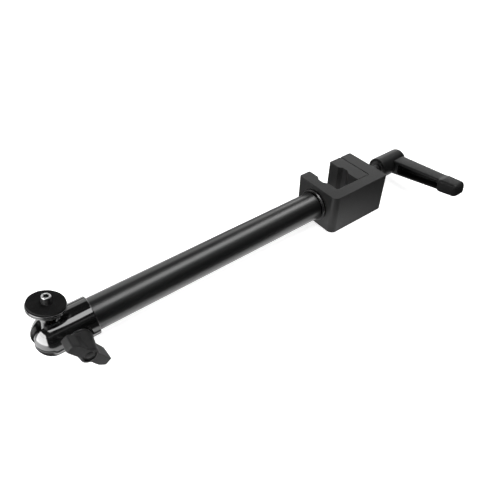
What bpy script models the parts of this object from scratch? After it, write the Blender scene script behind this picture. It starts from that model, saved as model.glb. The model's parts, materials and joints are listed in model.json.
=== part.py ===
# Clamp-on mount arm: a C clamp with a sliding jaw, a straight tube and a slotted ball head.
# Sizes are in millimetres and become metres as each mesh is made. +X runs along the tube
# from the ball head to the clamping lever, +Y to the open side of the clamp, +Z up.
# The origin is on the tube's axis, at the clamping face of the fixed jaw.

import math

import bpy
import bmesh
from mathutils import Matrix, Vector

MM = 0.001
GAP = 0.3

# Tube and its clamp-end plug
TUBE_D = 25.0
TUBE_WALL = 1.5
TUBE_REACH = 209.8
PLUG_GRIP = 18.0
FLANGE_STEP = 1.8
FLANGE_T = 2.6
STUD_D = 9.7
STUD_LENGTH = 7.6

# Clamp body and jaws
JAW_T = 12.1
THROAT = 39.4
BACK_T = 12.5
SPINE_T = 10.5
AXIS_TO_SPINE = 13.8
AXIS_TO_LIP = 22.4
CLAMP_H = 37.9
CLAMP_NOSE_R = 5.5
CLAMP_TAIL_R = 1.8
EDGE_R = 1.5
EDGE_BREAK = 0.5
MOVING_JAW_T = 13.7
JAW_REST_GAP = 0.6
GROOVE_Y = 4.6
GROOVE_MOUTH = 12.8
GROOVE_FLOOR = 5.6
GROOVE_DEPTH = 2.6
STUD_HOLE_TO_GRUB = 4.4

# Clamp screw and its seat in the moving jaw
SCREW_Y = 5.6
SCREW_D = 8.0
SCREW_TIP_D = 6.0
TIP_GROOVE_D = 4.4
TIP_GROOVE_W = 4.6
JAW_BORE_DEPTH = 8.7
WASHER_T = 1.2
SCREW_TO_HUB = 24.0
GRUB_D = 4.0

# Clamping lever
HUB_D = 20.8
HUB_LENGTH = 31.6
HUB_ROUND = 3.2
SPLINE_TEETH = 20
SPLINE_ROOT_D = 11.8
SPLINE_TOOTH = 0.8
SPLINE_START = 2.4
SPLINE_LENGTH = 4.2
COLLAR_STEP = 0.9
INSERT_COLLAR_T = 1.4
INSERT_LENGTH = 11.4
WEB_T = 2.0
CHAMBER_D = 11.2
LEVER_SCREW_D = 5.0
LEVER_SCREW_GRIP = 7.2
LEVER_SCREW_HEAD_T = 3.2
HEAD_CLEAR = 1.1
SPRING_ROOM = 10.6
SPRING_WIRE = 0.8
SPRING_TURNS = 6
ARM_LENGTH = 77.4
ARM_LEAN = math.radians(5.5)
ARM_RISE = 7.7
ARM_FRONT_AT_HUB = 12.8
ARM_T_AT_HUB = 15.6
ARM_T_AT_TIP = 11.6
ARM_H_AT_HUB = 14.8
ARM_H_AT_TIP = 9.4
PADDLE_LENGTH = 18.9
PADDLE_SWELL = 1.6
PADDLE_NOSE = 5.5
PADDLE_FLARE = 5.5
POCKET_FROM_HUB = 3.4
POCKET_TO_PADDLE = 1.5
POCKET_DEPTH = 8.5
POCKET_RIM = 2.0

# Ball head
SOCKET_WALL = 2.0
HEAD_D = TUBE_D + 2 * (SOCKET_WALL + GAP)
SOCKET_DEPTH = 8.0
RIM_TO_KNOB = 15.5
KNOB_TO_BALL = 18.0
BALL_TO_DOME = 3.0
DOME_LENGTH = 12.0
BALL_D = 15.0
SLOT_W = 8.0
SLOT_END_EASE = 0.6
REST_TILT = math.radians(16.3)
TILT_TO_TUBE = math.radians(30.3)
TILT_AWAY = math.radians(-120.0)
NECK_D = 6.2
NECK_TOP_D = 9.4
NECK_REACH = 9.5
NECK_TOP = HEAD_D / 2 + NECK_REACH
NECK_SPIGOT_D = 4.0
NECK_SPIGOT_END = -1.5
PLATE_SPIGOT_D = 6.0
PLATE_SPIGOT_LENGTH = 2.3
PLATE_D = 25.9
PLATE_RIM_T = 3.2
PLATE_T = 5.2
PAD_INSET = 0.5
PAD_T = 1.5
CAMERA_STUD_D = 6.35
CAMERA_STUD_REACH = 5.4

# Knob and lock
LOCK_D = 6.0
CONE_HALF_ANGLE = math.radians(30.0)
CONE_PAST_AXIS = 2.5
CONE_TIP_R = 0.5
PISTON_CUP_DEPTH = 1.0
PISTON_NOSE_R = 4.3
PISTON_NOSE_BACK = 2.0
KNOB_TRAVEL = 2.0
SPOT_DEPTH = 1.0
SPOT_CLEAR = 1.7
KNOB_WASHER_D = 16.4
KNOB_WASHER_T = 1.0
KNOB_LENGTH = 17.0
KNOB_HUB_D = 17.0
WING_START = 5.6
WING_REACH = 18.6
WING_HALF_W = 8.0
WING_SLIM = 0.9
WING_ANGLE = math.radians(-57.0)
WING_TIP_W = 6.0
CAP_RECESS_D = 9.2
CAP_RECESS_DEPTH = 1.8
CAP_T = 1.2

# Places along the tube, worked out from the sizes above
CLAMP_X0 = -JAW_T
FLANGE_X0 = CLAMP_X0 - GAP - FLANGE_T
TUBE_X1 = FLANGE_X0 - GAP
RIM_X = TUBE_X1 - TUBE_REACH
TUBE_X0 = RIM_X - SOCKET_DEPTH
KNOB_X = RIM_X - RIM_TO_KNOB
BALL_X = KNOB_X - KNOB_TO_BALL
SEAT_OFFSET = HEAD_D / 2 - SPOT_DEPTH
DOME_X = BALL_X + BALL_TO_DOME
SPINE_Y = -AXIS_TO_SPINE
BACK_X0 = THROAT
BACK_X1 = THROAT + BACK_T
MOVING_X1 = BACK_X0 - JAW_REST_GAP
MOVING_X0 = MOVING_X1 - MOVING_JAW_T
HUB_X0 = BACK_X1 + SCREW_TO_HUB
WEB_X0 = HUB_X0 + INSERT_LENGTH + GAP
WEB_X1 = WEB_X0 + WEB_T
HUB_X1 = HUB_X0 + HUB_LENGTH
HEAD_R = HEAD_D / 2
BORE_R = BALL_D / 2 + GAP
TUBE_R = TUBE_D / 2
TUBE_BORE_R = TUBE_R - TUBE_WALL
GRUB_X_CLAMP = CLAMP_X0 + STUD_HOLE_TO_GRUB
SPLINE_TIP_D = SPLINE_ROOT_D + 2 * SPLINE_TOOTH
INSERT_COLLAR_D = SPLINE_TIP_D + 2 * COLLAR_STEP
LEVER_SCREW_HEAD_D = CHAMBER_D - 2 * HEAD_CLEAR
PADDLE_START = ARM_LENGTH - PADDLE_LENGTH
GRUB_X_HEAD = RIM_X - SOCKET_DEPTH / 2


def clear_scene():
    for old in list(bpy.data.objects):
        bpy.data.objects.remove(old, do_unlink=True)


def make_material(name, colour, roughness, metallic):
    material = bpy.data.materials.new(name)
    material.use_nodes = True
    shader = material.node_tree.nodes["Principled BSDF"]
    shader.inputs["Base Color"].default_value = (*colour, 1.0)
    shader.inputs["Roughness"].default_value = roughness
    shader.inputs["Metallic"].default_value = metallic
    material.diffuse_color = (*colour, 1.0)
    return material


def make_object(name, mesh_edit, look, at=(0, 0, 0), smooth_angle=30.0):
    """Turn an edit mesh in millimetres into an object in metres, with its origin at a place."""
    bmesh.ops.remove_doubles(mesh_edit, verts=mesh_edit.verts, dist=1e-4)
    bmesh.ops.recalc_face_normals(mesh_edit, faces=mesh_edit.faces)
    bmesh.ops.scale(mesh_edit, vec=(MM, MM, MM), verts=mesh_edit.verts)
    mesh = bpy.data.meshes.new(name)
    mesh_edit.to_mesh(mesh)
    mesh_edit.free()
    mesh.shade_smooth()
    mesh.set_sharp_from_angle(angle=math.radians(smooth_angle))
    if look:
        mesh.materials.append(look)
    thing = bpy.data.objects.new(name, mesh)
    thing.location = Vector(at) * MM
    bpy.context.collection.objects.link(thing)
    return thing


AXIS_TURNS = {
    "X": Matrix.Rotation(math.radians(90.0), 4, "Y"),
    "Y": Matrix.Rotation(math.radians(-90.0), 4, "X"),
    "Z": Matrix.Identity(4),
}


def turned(name, profile, axis, at, look, segments=48, ring=False):
    """Spin a profile of (place along the axis, radius) points round an axis."""
    mesh_edit = bmesh.new()
    points = [mesh_edit.verts.new((radius, 0, along)) for along, radius in profile]
    pairs = list(zip(points, points[1:]))
    if ring:
        pairs.append((points[-1], points[0]))
    edges = [mesh_edit.edges.new(pair) for pair in pairs]
    bmesh.ops.spin(mesh_edit, geom=points + edges, cent=(0, 0, 0), axis=(0, 0, 1),
                   dvec=(0, 0, 0), angle=2 * math.pi, steps=segments, use_duplicate=False)
    bmesh.ops.transform(mesh_edit, matrix=AXIS_TURNS[axis], verts=mesh_edit.verts)
    return make_object(name, mesh_edit, look, at)


def arc(centre_along, centre_radius, radius, start, end, steps, stretch=1.0):
    """Profile points on an arc; angles in degrees from +along, stretch scales the axial way."""
    points = []
    for step in range(steps + 1):
        angle = math.radians(start + (end - start) * step / steps)
        points.append((centre_along + stretch * radius * math.cos(angle),
                       centre_radius + radius * math.sin(angle)))
    return points


def rounded_outline(corners, steps=5):
    """Outline points from (x, y, radius) corners, each corner replaced by its arc."""
    outline = []
    count = len(corners)
    for index, (x, y, radius) in enumerate(corners):
        here = Vector((x, y))
        if radius <= 0:
            outline.append(here)
            continue
        before = (Vector(corners[index - 1][:2]) - here).normalized()
        after = (Vector(corners[(index + 1) % count][:2]) - here).normalized()
        half = before.angle(after) / 2
        centre = here + (before + after).normalized() * radius / math.sin(half)
        start = here + before * radius / math.tan(half) - centre
        end = here + after * radius / math.tan(half) - centre
        for step in range(steps + 1):
            sweep = start.angle_signed(end) * step / steps
            outline.append(centre + Matrix.Rotation(-sweep, 2) @ start)
    return outline


def extruded(name, outline, low, high, axis, at, look):
    """Extrude an outline between two places along an axis; for Z the outline is in X and Y."""
    mesh_edit = bmesh.new()
    face = mesh_edit.faces.new([mesh_edit.verts.new((x, y, low)) for x, y in outline])
    grown = bmesh.ops.extrude_face_region(mesh_edit, geom=[face])
    raised = [item for item in grown["geom"] if isinstance(item, bmesh.types.BMVert)]
    bmesh.ops.translate(mesh_edit, verts=raised, vec=(0, 0, high - low))
    bmesh.ops.transform(mesh_edit, matrix=AXIS_TURNS[axis], verts=mesh_edit.verts)
    return make_object(name, mesh_edit, look, at)


def lofted(name, sections, at, look, smooth_angle=30.0):
    """Skin a row of rings, each with the same number of points, and cap both ends."""
    mesh_edit = bmesh.new()
    rings = [[mesh_edit.verts.new(point) for point in section] for section in sections]
    for ring_a, ring_b in zip(rings, rings[1:]):
        count = len(ring_a)
        for index in range(count):
            follow = (index + 1) % count
            mesh_edit.faces.new((ring_a[index], ring_a[follow], ring_b[follow], ring_b[index]))
    mesh_edit.faces.new(rings[0])
    mesh_edit.faces.new(rings[-1])
    return make_object(name, mesh_edit, look, at, smooth_angle)


def as_cutter(thing):
    thing.hide_render = True
    thing.display_type = "WIRE"
    return thing


def combine(thing, other, operation="DIFFERENCE"):
    change = thing.modifiers.new(other.name, "BOOLEAN")
    change.operation = operation
    change.solver = "EXACT"
    change.object = as_cutter(other)


def break_edges(thing, width=EDGE_BREAK, segments=2):
    change = thing.modifiers.new("edge_break", "BEVEL")
    change.width = width * MM
    change.segments = segments
    change.limit_method = "ANGLE"
    change.angle_limit = math.radians(50.0)


def plain_cylinder(name, radius, low, high, axis, at, segments=32):
    profile = [(low, 0), (low, radius), (high, radius), (high, 0)]
    return turned(name, profile, axis, at, None, segments)


def hex_socket(name, across, low, high, axis, at):
    return plain_cylinder(name, across / math.sqrt(3.0), low, high, axis, at, 6)


def build_arm_tube(look):
    profile = [(TUBE_X0, TUBE_BORE_R), (TUBE_X0, TUBE_R), (TUBE_X1, TUBE_R), (TUBE_X1, TUBE_BORE_R)]
    tube = turned("arm_tube", profile, "X", (0, 0, 0), look, 48, ring=True)
    hole = plain_cylinder("tube_grub_hole", GRUB_D / 2 + GAP, -TUBE_D, -TUBE_BORE_R + 2, "Z",
                          (GRUB_X_HEAD, 0, 0), 24)
    combine(tube, hole)


def build_clamp_end_plug(look):
    grip_r = TUBE_BORE_R - GAP
    flange_r = TUBE_R + FLANGE_STEP
    chamfer = 0.5
    profile = [(TUBE_X1 - PLUG_GRIP, 0), (TUBE_X1 - PLUG_GRIP, grip_r - 1),
               (TUBE_X1 - PLUG_GRIP + 1, grip_r), (FLANGE_X0, grip_r),
               (FLANGE_X0, flange_r - chamfer), (FLANGE_X0 + chamfer, flange_r),
               (FLANGE_X0 + FLANGE_T, flange_r), (FLANGE_X0 + FLANGE_T, STUD_D / 2),
               (CLAMP_X0 + STUD_LENGTH - 0.8, STUD_D / 2), (CLAMP_X0 + STUD_LENGTH, STUD_D / 2 - 0.8),
               (CLAMP_X0 + STUD_LENGTH, 0)]
    turned("clamp_end_plug", profile, "X", (0, 0, 0), look, 48)


def clamp_groove(face_x, inward):
    """Corner points of the vertical groove in a clamping face, from -Y to +Y."""
    floor_x = face_x + inward * GROOVE_DEPTH
    return [(face_x, GROOVE_Y - GROOVE_MOUTH / 2, 0.6), (floor_x, GROOVE_Y - GROOVE_FLOOR / 2, 0.6),
            (floor_x, GROOVE_Y + GROOVE_FLOOR / 2, 0.6), (face_x, GROOVE_Y + GROOVE_MOUTH / 2, 0.6)]


def build_clamp_body(look):
    lip_y = AXIS_TO_LIP
    back_y = SPINE_Y - SPINE_T
    corners = [(CLAMP_X0, lip_y, EDGE_R), (CLAMP_X0, back_y, CLAMP_NOSE_R),
               (BACK_X1, back_y, CLAMP_TAIL_R), (BACK_X1, lip_y, CLAMP_TAIL_R),
               (BACK_X0, lip_y, EDGE_R / 2), (BACK_X0, SPINE_Y, EDGE_R / 3), (0, SPINE_Y, EDGE_R)]
    corners += clamp_groove(0, -1)
    corners += [(0, lip_y, EDGE_R)]
    half = CLAMP_H / 2
    body = extruded("clamp_body", rounded_outline(corners), -half, half, "Z", (0, 0, 0), look)
    break_edges(body)
    combine(body, plain_cylinder("stud_hole", STUD_D / 2 + GAP, CLAMP_X0 - 2,
                                 CLAMP_X0 + STUD_LENGTH + GAP, "X", (0, 0, 0)))
    combine(body, plain_cylinder("screw_hole", SCREW_D / 2 + GAP, BACK_X0 - 2, BACK_X1 + 2,
                                 "X", (0, SCREW_Y, 0)))
    combine(body, plain_cylinder("clamp_grub_hole", GRUB_D / 2 + GAP, -half - 2, -STUD_D / 2 + 0.6,
                                 "Z", (GRUB_X_CLAMP, 0, 0), 24))


def build_grub_screw(name, place_x, low, high, look):
    tip = 0.6
    profile = [(low, 0), (low, GRUB_D / 2), (high - tip, GRUB_D / 2), (high, GRUB_D / 2 - tip),
               (high, 0)]
    screw = turned(name, profile, "Z", (place_x, 0, 0), look, 24)
    combine(screw, hex_socket(name + "_socket", GRUB_D / 2, low - 1, low + 2.0, "Z", (place_x, 0, 0)))


def build_moving_jaw(look):
    jaw_y0 = SPINE_Y + GAP
    jaw_y1 = AXIS_TO_LIP
    corners = [(MOVING_X1, jaw_y0, EDGE_R / 3), (MOVING_X1, jaw_y1, EDGE_R), (MOVING_X0, jaw_y1, EDGE_R / 2)]
    corners += list(reversed(clamp_groove(MOVING_X0, 1)))
    corners += [(MOVING_X0, jaw_y0, EDGE_R / 3)]
    half = CLAMP_H / 2
    jaw = extruded("moving_jaw", rounded_outline(corners), -half, half, "Z", (0, 0, 0), look)
    break_edges(jaw, EDGE_BREAK * 0.8)
    combine(jaw, plain_cylinder("jaw_bore", SCREW_TIP_D / 2 + GAP, MOVING_X1 - JAW_BORE_DEPTH,
                                MOVING_X1 + 2, "X", (0, SCREW_Y, 0)))
    combine(jaw, plain_cylinder("jaw_set_hole", GRUB_D / 2 + GAP, SCREW_Y + SCREW_TIP_D / 2 - 1.0,
                                AXIS_TO_LIP + 2, "Y", (tip_groove_x(), 0, 0), 24))


def tip_groove_x():
    """Middle of the groove near the clamp screw's tip, where the jaw's set screw runs."""
    return MOVING_X1 - JAW_BORE_DEPTH / 2 + 0.4


def build_thrust_washer(look):
    start = MOVING_X1 - JAW_BORE_DEPTH + GAP
    profile = [(start, 0), (start, SCREW_TIP_D / 2 - 0.2), (start + WASHER_T, SCREW_TIP_D / 2 - 0.2),
               (start + WASHER_T, 0)]
    turned("thrust_washer", profile, "X", (0, SCREW_Y, 0), look, 32)


def build_jaw_set_screw(look):
    nose_y = SCREW_Y + TIP_GROOVE_D / 2 + GAP
    shoulder_y = SCREW_Y + SCREW_TIP_D / 2 + GAP
    end_y = AXIS_TO_LIP - 1.2
    profile = [(nose_y, 0), (nose_y, GRUB_D / 2 - 0.7), (shoulder_y, GRUB_D / 2 - 0.7),
               (shoulder_y + 0.5, GRUB_D / 2), (end_y, GRUB_D / 2), (end_y, 0)]
    screw = turned("jaw_set_screw", profile, "Y", (tip_groove_x(), 0, 0), look, 24)
    combine(screw, hex_socket("jaw_set_socket", GRUB_D / 2, end_y - 2.0, end_y + 1, "Y",
                              (tip_groove_x(), 0, 0)))


def clamp_screw_end():
    """Outer end of the clamp screw, just under the lever's web."""
    return HUB_X0 + INSERT_LENGTH - GAP


def build_clamp_screw(look):
    tip_x = MOVING_X1 - JAW_BORE_DEPTH + 2 * GAP + WASHER_T
    groove_x0 = tip_groove_x() - TIP_GROOVE_W / 2
    groove_x1 = tip_groove_x() + TIP_GROOVE_W / 2
    tip_r = SCREW_TIP_D / 2
    body_r = SCREW_D / 2
    end_x = clamp_screw_end()
    hole_x = end_x - LEVER_SCREW_GRIP - GAP
    hole_r = LEVER_SCREW_D / 2 + GAP
    profile = [(tip_x, 0), (tip_x, tip_r - 0.3), (tip_x + 0.3, tip_r), (groove_x0, tip_r),
               (groove_x0, TIP_GROOVE_D / 2), (groove_x1, TIP_GROOVE_D / 2), (groove_x1, tip_r),
               (MOVING_X1 + GAP, tip_r), (MOVING_X1 + GAP, body_r - 0.6),
               (MOVING_X1 + GAP + 0.6, body_r), (end_x - 0.5, body_r), (end_x, body_r - 0.5),
               (end_x, hole_r), (hole_x, hole_r), (hole_x, 0)]
    turned("clamp_screw", profile, "X", (0, SCREW_Y, 0), look, 32)


def spline_outline(root_r, tip_r):
    """Star outline of the splines, with a flat on each tooth's tip and root."""
    outline = []
    for index in range(SPLINE_TEETH * 4):
        angle = 2 * math.pi * (index + 0.5) / (SPLINE_TEETH * 4)
        radius = tip_r if index % 4 < 2 else root_r
        outline.append((radius * math.cos(angle), radius * math.sin(angle)))
    return outline


def build_lever_insert(look):
    start = HUB_X0 - GAP
    bore_r = SCREW_D / 2 + GAP
    neck_r = SPLINE_ROOT_D / 2
    teeth_x0 = HUB_X0 + SPLINE_START
    nose_x = HUB_X0 + INSERT_LENGTH
    profile = [(start, bore_r), (start, INSERT_COLLAR_D / 2 - 0.4), (start + 0.4, INSERT_COLLAR_D / 2),
               (start + INSERT_COLLAR_T, INSERT_COLLAR_D / 2), (start + INSERT_COLLAR_T, neck_r),
               (teeth_x0 + SPLINE_LENGTH, neck_r), (teeth_x0 + SPLINE_LENGTH, neck_r - 0.4),
               (nose_x, neck_r - 0.4), (nose_x, bore_r)]
    insert = turned("lever_insert", profile, "X", (0, SCREW_Y, 0), look, 32, ring=True)
    teeth = extruded("insert_teeth", spline_outline(SPLINE_ROOT_D / 2 - 0.05, SPLINE_TIP_D / 2),
                     teeth_x0, teeth_x0 + SPLINE_LENGTH, "X", (0, SCREW_Y, 0), None)
    core = plain_cylinder("teeth_core", bore_r + 0.4, teeth_x0 - 2, teeth_x0 + SPLINE_LENGTH + 2, "X",
                          (0, SCREW_Y, 0))
    combine(teeth, core)
    combine(insert, teeth, "UNION")


def build_lever_screw(look):
    start = clamp_screw_end() - LEVER_SCREW_GRIP
    head_x0 = WEB_X1 + SPRING_ROOM
    head_x1 = head_x0 + LEVER_SCREW_HEAD_T
    shank_r = LEVER_SCREW_D / 2
    head_r = LEVER_SCREW_HEAD_D / 2
    profile = [(start, 0), (start, shank_r - 0.4), (start + 0.4, shank_r), (head_x0, shank_r),
               (head_x0, head_r), (head_x1 - 0.5, head_r), (head_x1, head_r - 0.5), (head_x1, 0)]
    screw = turned("lever_screw", profile, "X", (0, SCREW_Y, 0), look, 32)
    combine(screw, hex_socket("lever_screw_socket", 4.0, head_x1 - 2.2, head_x1 + 1, "X",
                              (0, SCREW_Y, 0)))


def build_lever_spring(look):
    """Helix between the hub's web and the screw's head, with a 0.3 mm gap at each end."""
    points_a_turn = 9
    first_x = WEB_X1 + GAP + SPRING_WIRE / 2
    last_x = WEB_X1 + SPRING_ROOM - GAP - SPRING_WIRE / 2
    count = SPRING_TURNS * points_a_turn
    radius = (LEVER_SCREW_D + CHAMBER_D) / 4
    curve = bpy.data.curves.new("lever_spring", "CURVE")
    curve.dimensions = "3D"
    curve.bevel_depth = SPRING_WIRE / 2 * MM
    curve.bevel_resolution = 1
    curve.use_fill_caps = True
    spline = curve.splines.new("POLY")
    spline.points.add(count)
    for index in range(count + 1):
        share = index / count
        angle = 2 * math.pi * SPRING_TURNS * share
        place = Vector((first_x + (last_x - first_x) * share, radius * math.cos(angle),
                        radius * math.sin(angle)))
        spline.points[index].co = (*(place * MM), 1.0)
    curve.materials.append(look)
    spring = bpy.data.objects.new("lever_spring", curve)
    spring.location = Vector((0, SCREW_Y, 0)) * MM
    bpy.context.collection.objects.link(spring)
    pitch = (last_x - first_x) / SPRING_TURNS
    print("lever_spring least gap between curls, mm:", round(pitch - SPRING_WIRE, 2))


def arm_section(along, grow_front=0.0, grow_side=0.0):
    """Front face, back face and half height of the lever's arm at a distance from the hub's axis."""
    share = along / ARM_LENGTH
    front = ARM_FRONT_AT_HUB + ARM_RISE * share - grow_front
    thickness = ARM_T_AT_HUB + (ARM_T_AT_TIP - ARM_T_AT_HUB) * share
    back = ARM_FRONT_AT_HUB + ARM_RISE * share + thickness
    half = (ARM_H_AT_HUB + (ARM_H_AT_TIP - ARM_H_AT_HUB) * share) / 2 + grow_side
    return front, back, half


def arm_ring(along, front, back, half, radius):
    """Rounded rectangle across the arm, at a distance along it from the hub's axis."""
    corners = [(front, -half, radius), (back, -half, radius), (back, half, radius),
               (front, half, radius)]
    away = Vector((0, -math.cos(ARM_LEAN), math.sin(ARM_LEAN)))
    up = Vector((0, math.sin(ARM_LEAN), math.cos(ARM_LEAN)))
    ring = []
    for x, height in rounded_outline(corners, 3):
        ring.append(Vector((HUB_X0 + x, 0, 0)) + away * along + up * height)
    return ring


def build_lever_arm():
    """Solid arm: a tapering bar, then a paddle that swells towards the clamp and rounds off."""
    sections = []
    for along in (HUB_D / 2 - 2.2, HUB_D / 2 + 2.0, PADDLE_START / 2, PADDLE_START - 1.2):
        front, back, half = arm_section(along)
        sections.append(arm_ring(along, front, back, half, 1.4))
    nose_start = ARM_LENGTH - PADDLE_NOSE
    for along in (PADDLE_START, PADDLE_START + PADDLE_FLARE, nose_start):
        front, back, half = arm_section(along, PADDLE_SWELL, PADDLE_SWELL * 0.6)
        sections.append(arm_ring(along, front, back, half, 1.8))
    for step in range(1, 5):
        angle = math.radians(80.0 * step / 4)
        along = nose_start + PADDLE_NOSE * math.sin(angle)
        front, back, half = arm_section(nose_start, PADDLE_SWELL, PADDLE_SWELL * 0.6)
        middle = (front + back) / 2
        shrink = 0.45 + 0.55 * math.cos(angle)
        radius = 1.8 * shrink
        sections.append(arm_ring(along, middle + (front - middle) * shrink,
                                 middle + (back - middle) * shrink, half * shrink, radius))
    return lofted("lever_arm_solid", sections, (0, SCREW_Y, 0), None, 40.0)


def build_lever_pocket():
    """Cutter for the hollow under the arm, open towards the clamp."""
    sections = []
    for along in (HUB_D / 2 + POCKET_FROM_HUB, PADDLE_START - POCKET_TO_PADDLE):
        front, _, half = arm_section(along)
        sections.append(arm_ring(along, front - 3, front + POCKET_DEPTH, half - POCKET_RIM, 1.2))
    return lofted("lever_pocket", sections, (0, SCREW_Y, 0), None)


def build_lever_handle(look):
    """Hub turned with its stepped bore, joined to the arm, hollowed and splined."""
    hub_r = HUB_D / 2
    tip_r = SPLINE_TIP_D / 2 + GAP
    root_r = SPLINE_ROOT_D / 2 + GAP
    relief_r = tip_r + 0.2
    mouth_r = INSERT_COLLAR_D / 2 + GAP
    web_r = LEVER_SCREW_D / 2 + GAP
    chamber_r = CHAMBER_D / 2
    mouth_x = HUB_X0 + INSERT_COLLAR_T
    teeth_x0 = HUB_X0 + SPLINE_START + GAP
    teeth_x1 = HUB_X0 + SPLINE_START + SPLINE_LENGTH - GAP
    profile = [(HUB_X0, hub_r - 0.7), (HUB_X0, mouth_r), (mouth_x, mouth_r), (mouth_x, relief_r),
               (teeth_x0, relief_r), (teeth_x0, root_r), (teeth_x1, root_r), (teeth_x1, relief_r),
               (WEB_X0, relief_r), (WEB_X0, web_r), (WEB_X1, web_r), (WEB_X1, chamber_r),
               (HUB_X1 - 0.4, chamber_r), (HUB_X1, chamber_r + 0.4)]
    profile += arc(HUB_X1 - HUB_ROUND, hub_r - HUB_ROUND, HUB_ROUND, 0, 90, 4)
    profile += [(HUB_X0 + 0.7, hub_r)]
    handle = turned("lever_handle", profile, "X", (0, SCREW_Y, 0), look, 40, ring=True)
    combine(handle, build_lever_arm(), "UNION")
    combine(handle, build_lever_pocket())
    combine(handle, extruded("hub_splines", spline_outline(root_r - 0.1, tip_r), teeth_x0 - 0.4,
                             teeth_x1 + 0.4, "X", (0, SCREW_Y, 0), None))


def build_head_end_plug(look):
    nose_x = TUBE_X0 - GAP - 4.0
    nose_r = BORE_R - GAP
    grip_r = TUBE_BORE_R - GAP
    profile = [(nose_x, 0), (nose_x, nose_r - 0.5), (nose_x + 0.5, nose_r), (TUBE_X0, nose_r),
               (TUBE_X0, grip_r), (TUBE_X0 + PLUG_GRIP, grip_r), (TUBE_X0 + PLUG_GRIP, 0)]
    plug = turned("head_end_plug", profile, "X", (0, 0, 0), look, 32)
    combine(plug, plain_cylinder("plug_grub_dimple", GRUB_D / 2 + GAP, -TUBE_D, -grip_r + 2.0, "Z",
                                 (GRUB_X_HEAD, 0, 0), 24))


def tilt_direction(tilt):
    """Unit vector of the stem at a tilt from +Z towards +X."""
    return Vector((math.sin(tilt), 0, math.cos(tilt)))


def build_slot_cutter():
    """Room that the neck sweeps: a slot with flat cheeks and a round end at each limit.
    The end on the tube's side is eased, where the neck's flare comes close."""
    half = SLOT_W / 2
    stations = []
    for step in range(9):
        turn = math.radians(1.5 + 88.5 * step / 8)
        stations.append((TILT_TO_TUBE, (half + SLOT_END_EASE) * math.cos(turn), half * math.sin(turn)))
    for step in range(1, 12):
        stations.append((TILT_TO_TUBE + (TILT_AWAY - TILT_TO_TUBE) * step / 12, 0.0, half))
    for step in range(9):
        turn = math.radians(90.0 - 88.5 * step / 8)
        stations.append((TILT_AWAY, -half * math.cos(turn), half * math.sin(turn)))
    sections = []
    for tilt, past, half_width in stations:
        along = tilt_direction(tilt)
        across = tilt_direction(tilt + math.pi / 2)
        ring = []
        for reach, side in ((2.0, -1), (HEAD_D, -1), (HEAD_D, 1), (2.0, 1)):
            ring.append(along * reach + across * past + Vector((0, side * half_width, 0)))
        sections.append(ring)
    return lofted("neck_slot", sections, (BALL_X, 0, 0), None)


def build_knob_seat():
    """Cutter for the flat spot under the knob's washer and the lock screw's hole."""
    spot_r = KNOB_WASHER_D / 2 + SPOT_CLEAR
    hole_r = LOCK_D / 2 + GAP
    profile = [(-HEAD_R - 4, 0), (-HEAD_R - 4, spot_r), (-SEAT_OFFSET, spot_r), (-SEAT_OFFSET, hole_r),
               (-BORE_R + 3, hole_r), (-BORE_R + 3, 0)]
    return turned("knob_seat", profile, "Y", (KNOB_X, 0, 0), None, 32)


def build_head_housing(look):
    """Barrel and dome in one turning with the ball's seat, the piston bore and the tube socket."""
    chamfer = 0.5
    socket_r = TUBE_R + GAP
    profile = arc(BALL_X, 0, BORE_R, 180, 90, 8)
    profile[0] = (BALL_X - BORE_R, 0)
    profile += [(TUBE_X0 - GAP, BORE_R), (TUBE_X0 - GAP, socket_r), (RIM_X - chamfer, socket_r),
                (RIM_X, socket_r + chamfer), (RIM_X, HEAD_R - chamfer), (RIM_X - chamfer, HEAD_R)]
    profile += arc(DOME_X, 0, HEAD_R, 90, 180, 12, DOME_LENGTH / HEAD_R)
    profile[-1] = (DOME_X - DOME_LENGTH, 0)
    housing = turned("head_housing", profile, "X", (0, 0, 0), look, 48)
    combine(housing, build_slot_cutter())
    combine(housing, build_knob_seat())
    combine(housing, plain_cylinder("head_grub_hole", GRUB_D / 2 + GAP, -HEAD_D, -TUBE_R + 1, "Z",
                                    (GRUB_X_HEAD, 0, 0), 24))


def neck_seat():
    """Place on the stem's axis where the ball has its flat for the neck."""
    return math.sqrt((BALL_D / 2) ** 2 - (NECK_D / 2 + GAP) ** 2)


def build_ball(look):
    ball_r = BALL_D / 2
    start_angle = math.degrees(math.acos(neck_seat() / ball_r))
    profile = arc(0, 0, ball_r, 180, start_angle, 12)
    profile[0] = (-ball_r, 0)
    bore_r = NECK_SPIGOT_D / 2 + GAP
    profile += [(neck_seat(), bore_r), (NECK_SPIGOT_END - GAP, bore_r), (NECK_SPIGOT_END - GAP, 0)]
    ball = turned("ball", profile, "Z", (BALL_X, 0, 0), look, 32)
    ball.rotation_euler = (0, REST_TILT, 0)


def build_ball_neck(look):
    """Waisted neck that flares to the plate, with a spigot at each end."""
    foot = neck_seat() + GAP
    height = NECK_TOP - foot
    neck_r = NECK_D / 2
    top_r = NECK_TOP_D / 2
    flare = top_r - neck_r
    profile = [(NECK_SPIGOT_END, 0), (NECK_SPIGOT_END, NECK_SPIGOT_D / 2), (foot, NECK_SPIGOT_D / 2),
               (foot, neck_r), (foot + 0.15 * height, neck_r), (foot + 0.40 * height, neck_r + 0.22 * flare),
               (foot + 0.65 * height, neck_r + 0.55 * flare), (foot + 0.88 * height, top_r),
               (NECK_TOP, top_r), (NECK_TOP, PLATE_SPIGOT_D / 2),
               (NECK_TOP + PLATE_SPIGOT_LENGTH, PLATE_SPIGOT_D / 2), (NECK_TOP + PLATE_SPIGOT_LENGTH, 0)]
    neck = turned("ball_neck", profile, "Z", (BALL_X, 0, 0), look, 32)
    neck.rotation_euler = (0, REST_TILT, 0)


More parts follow.
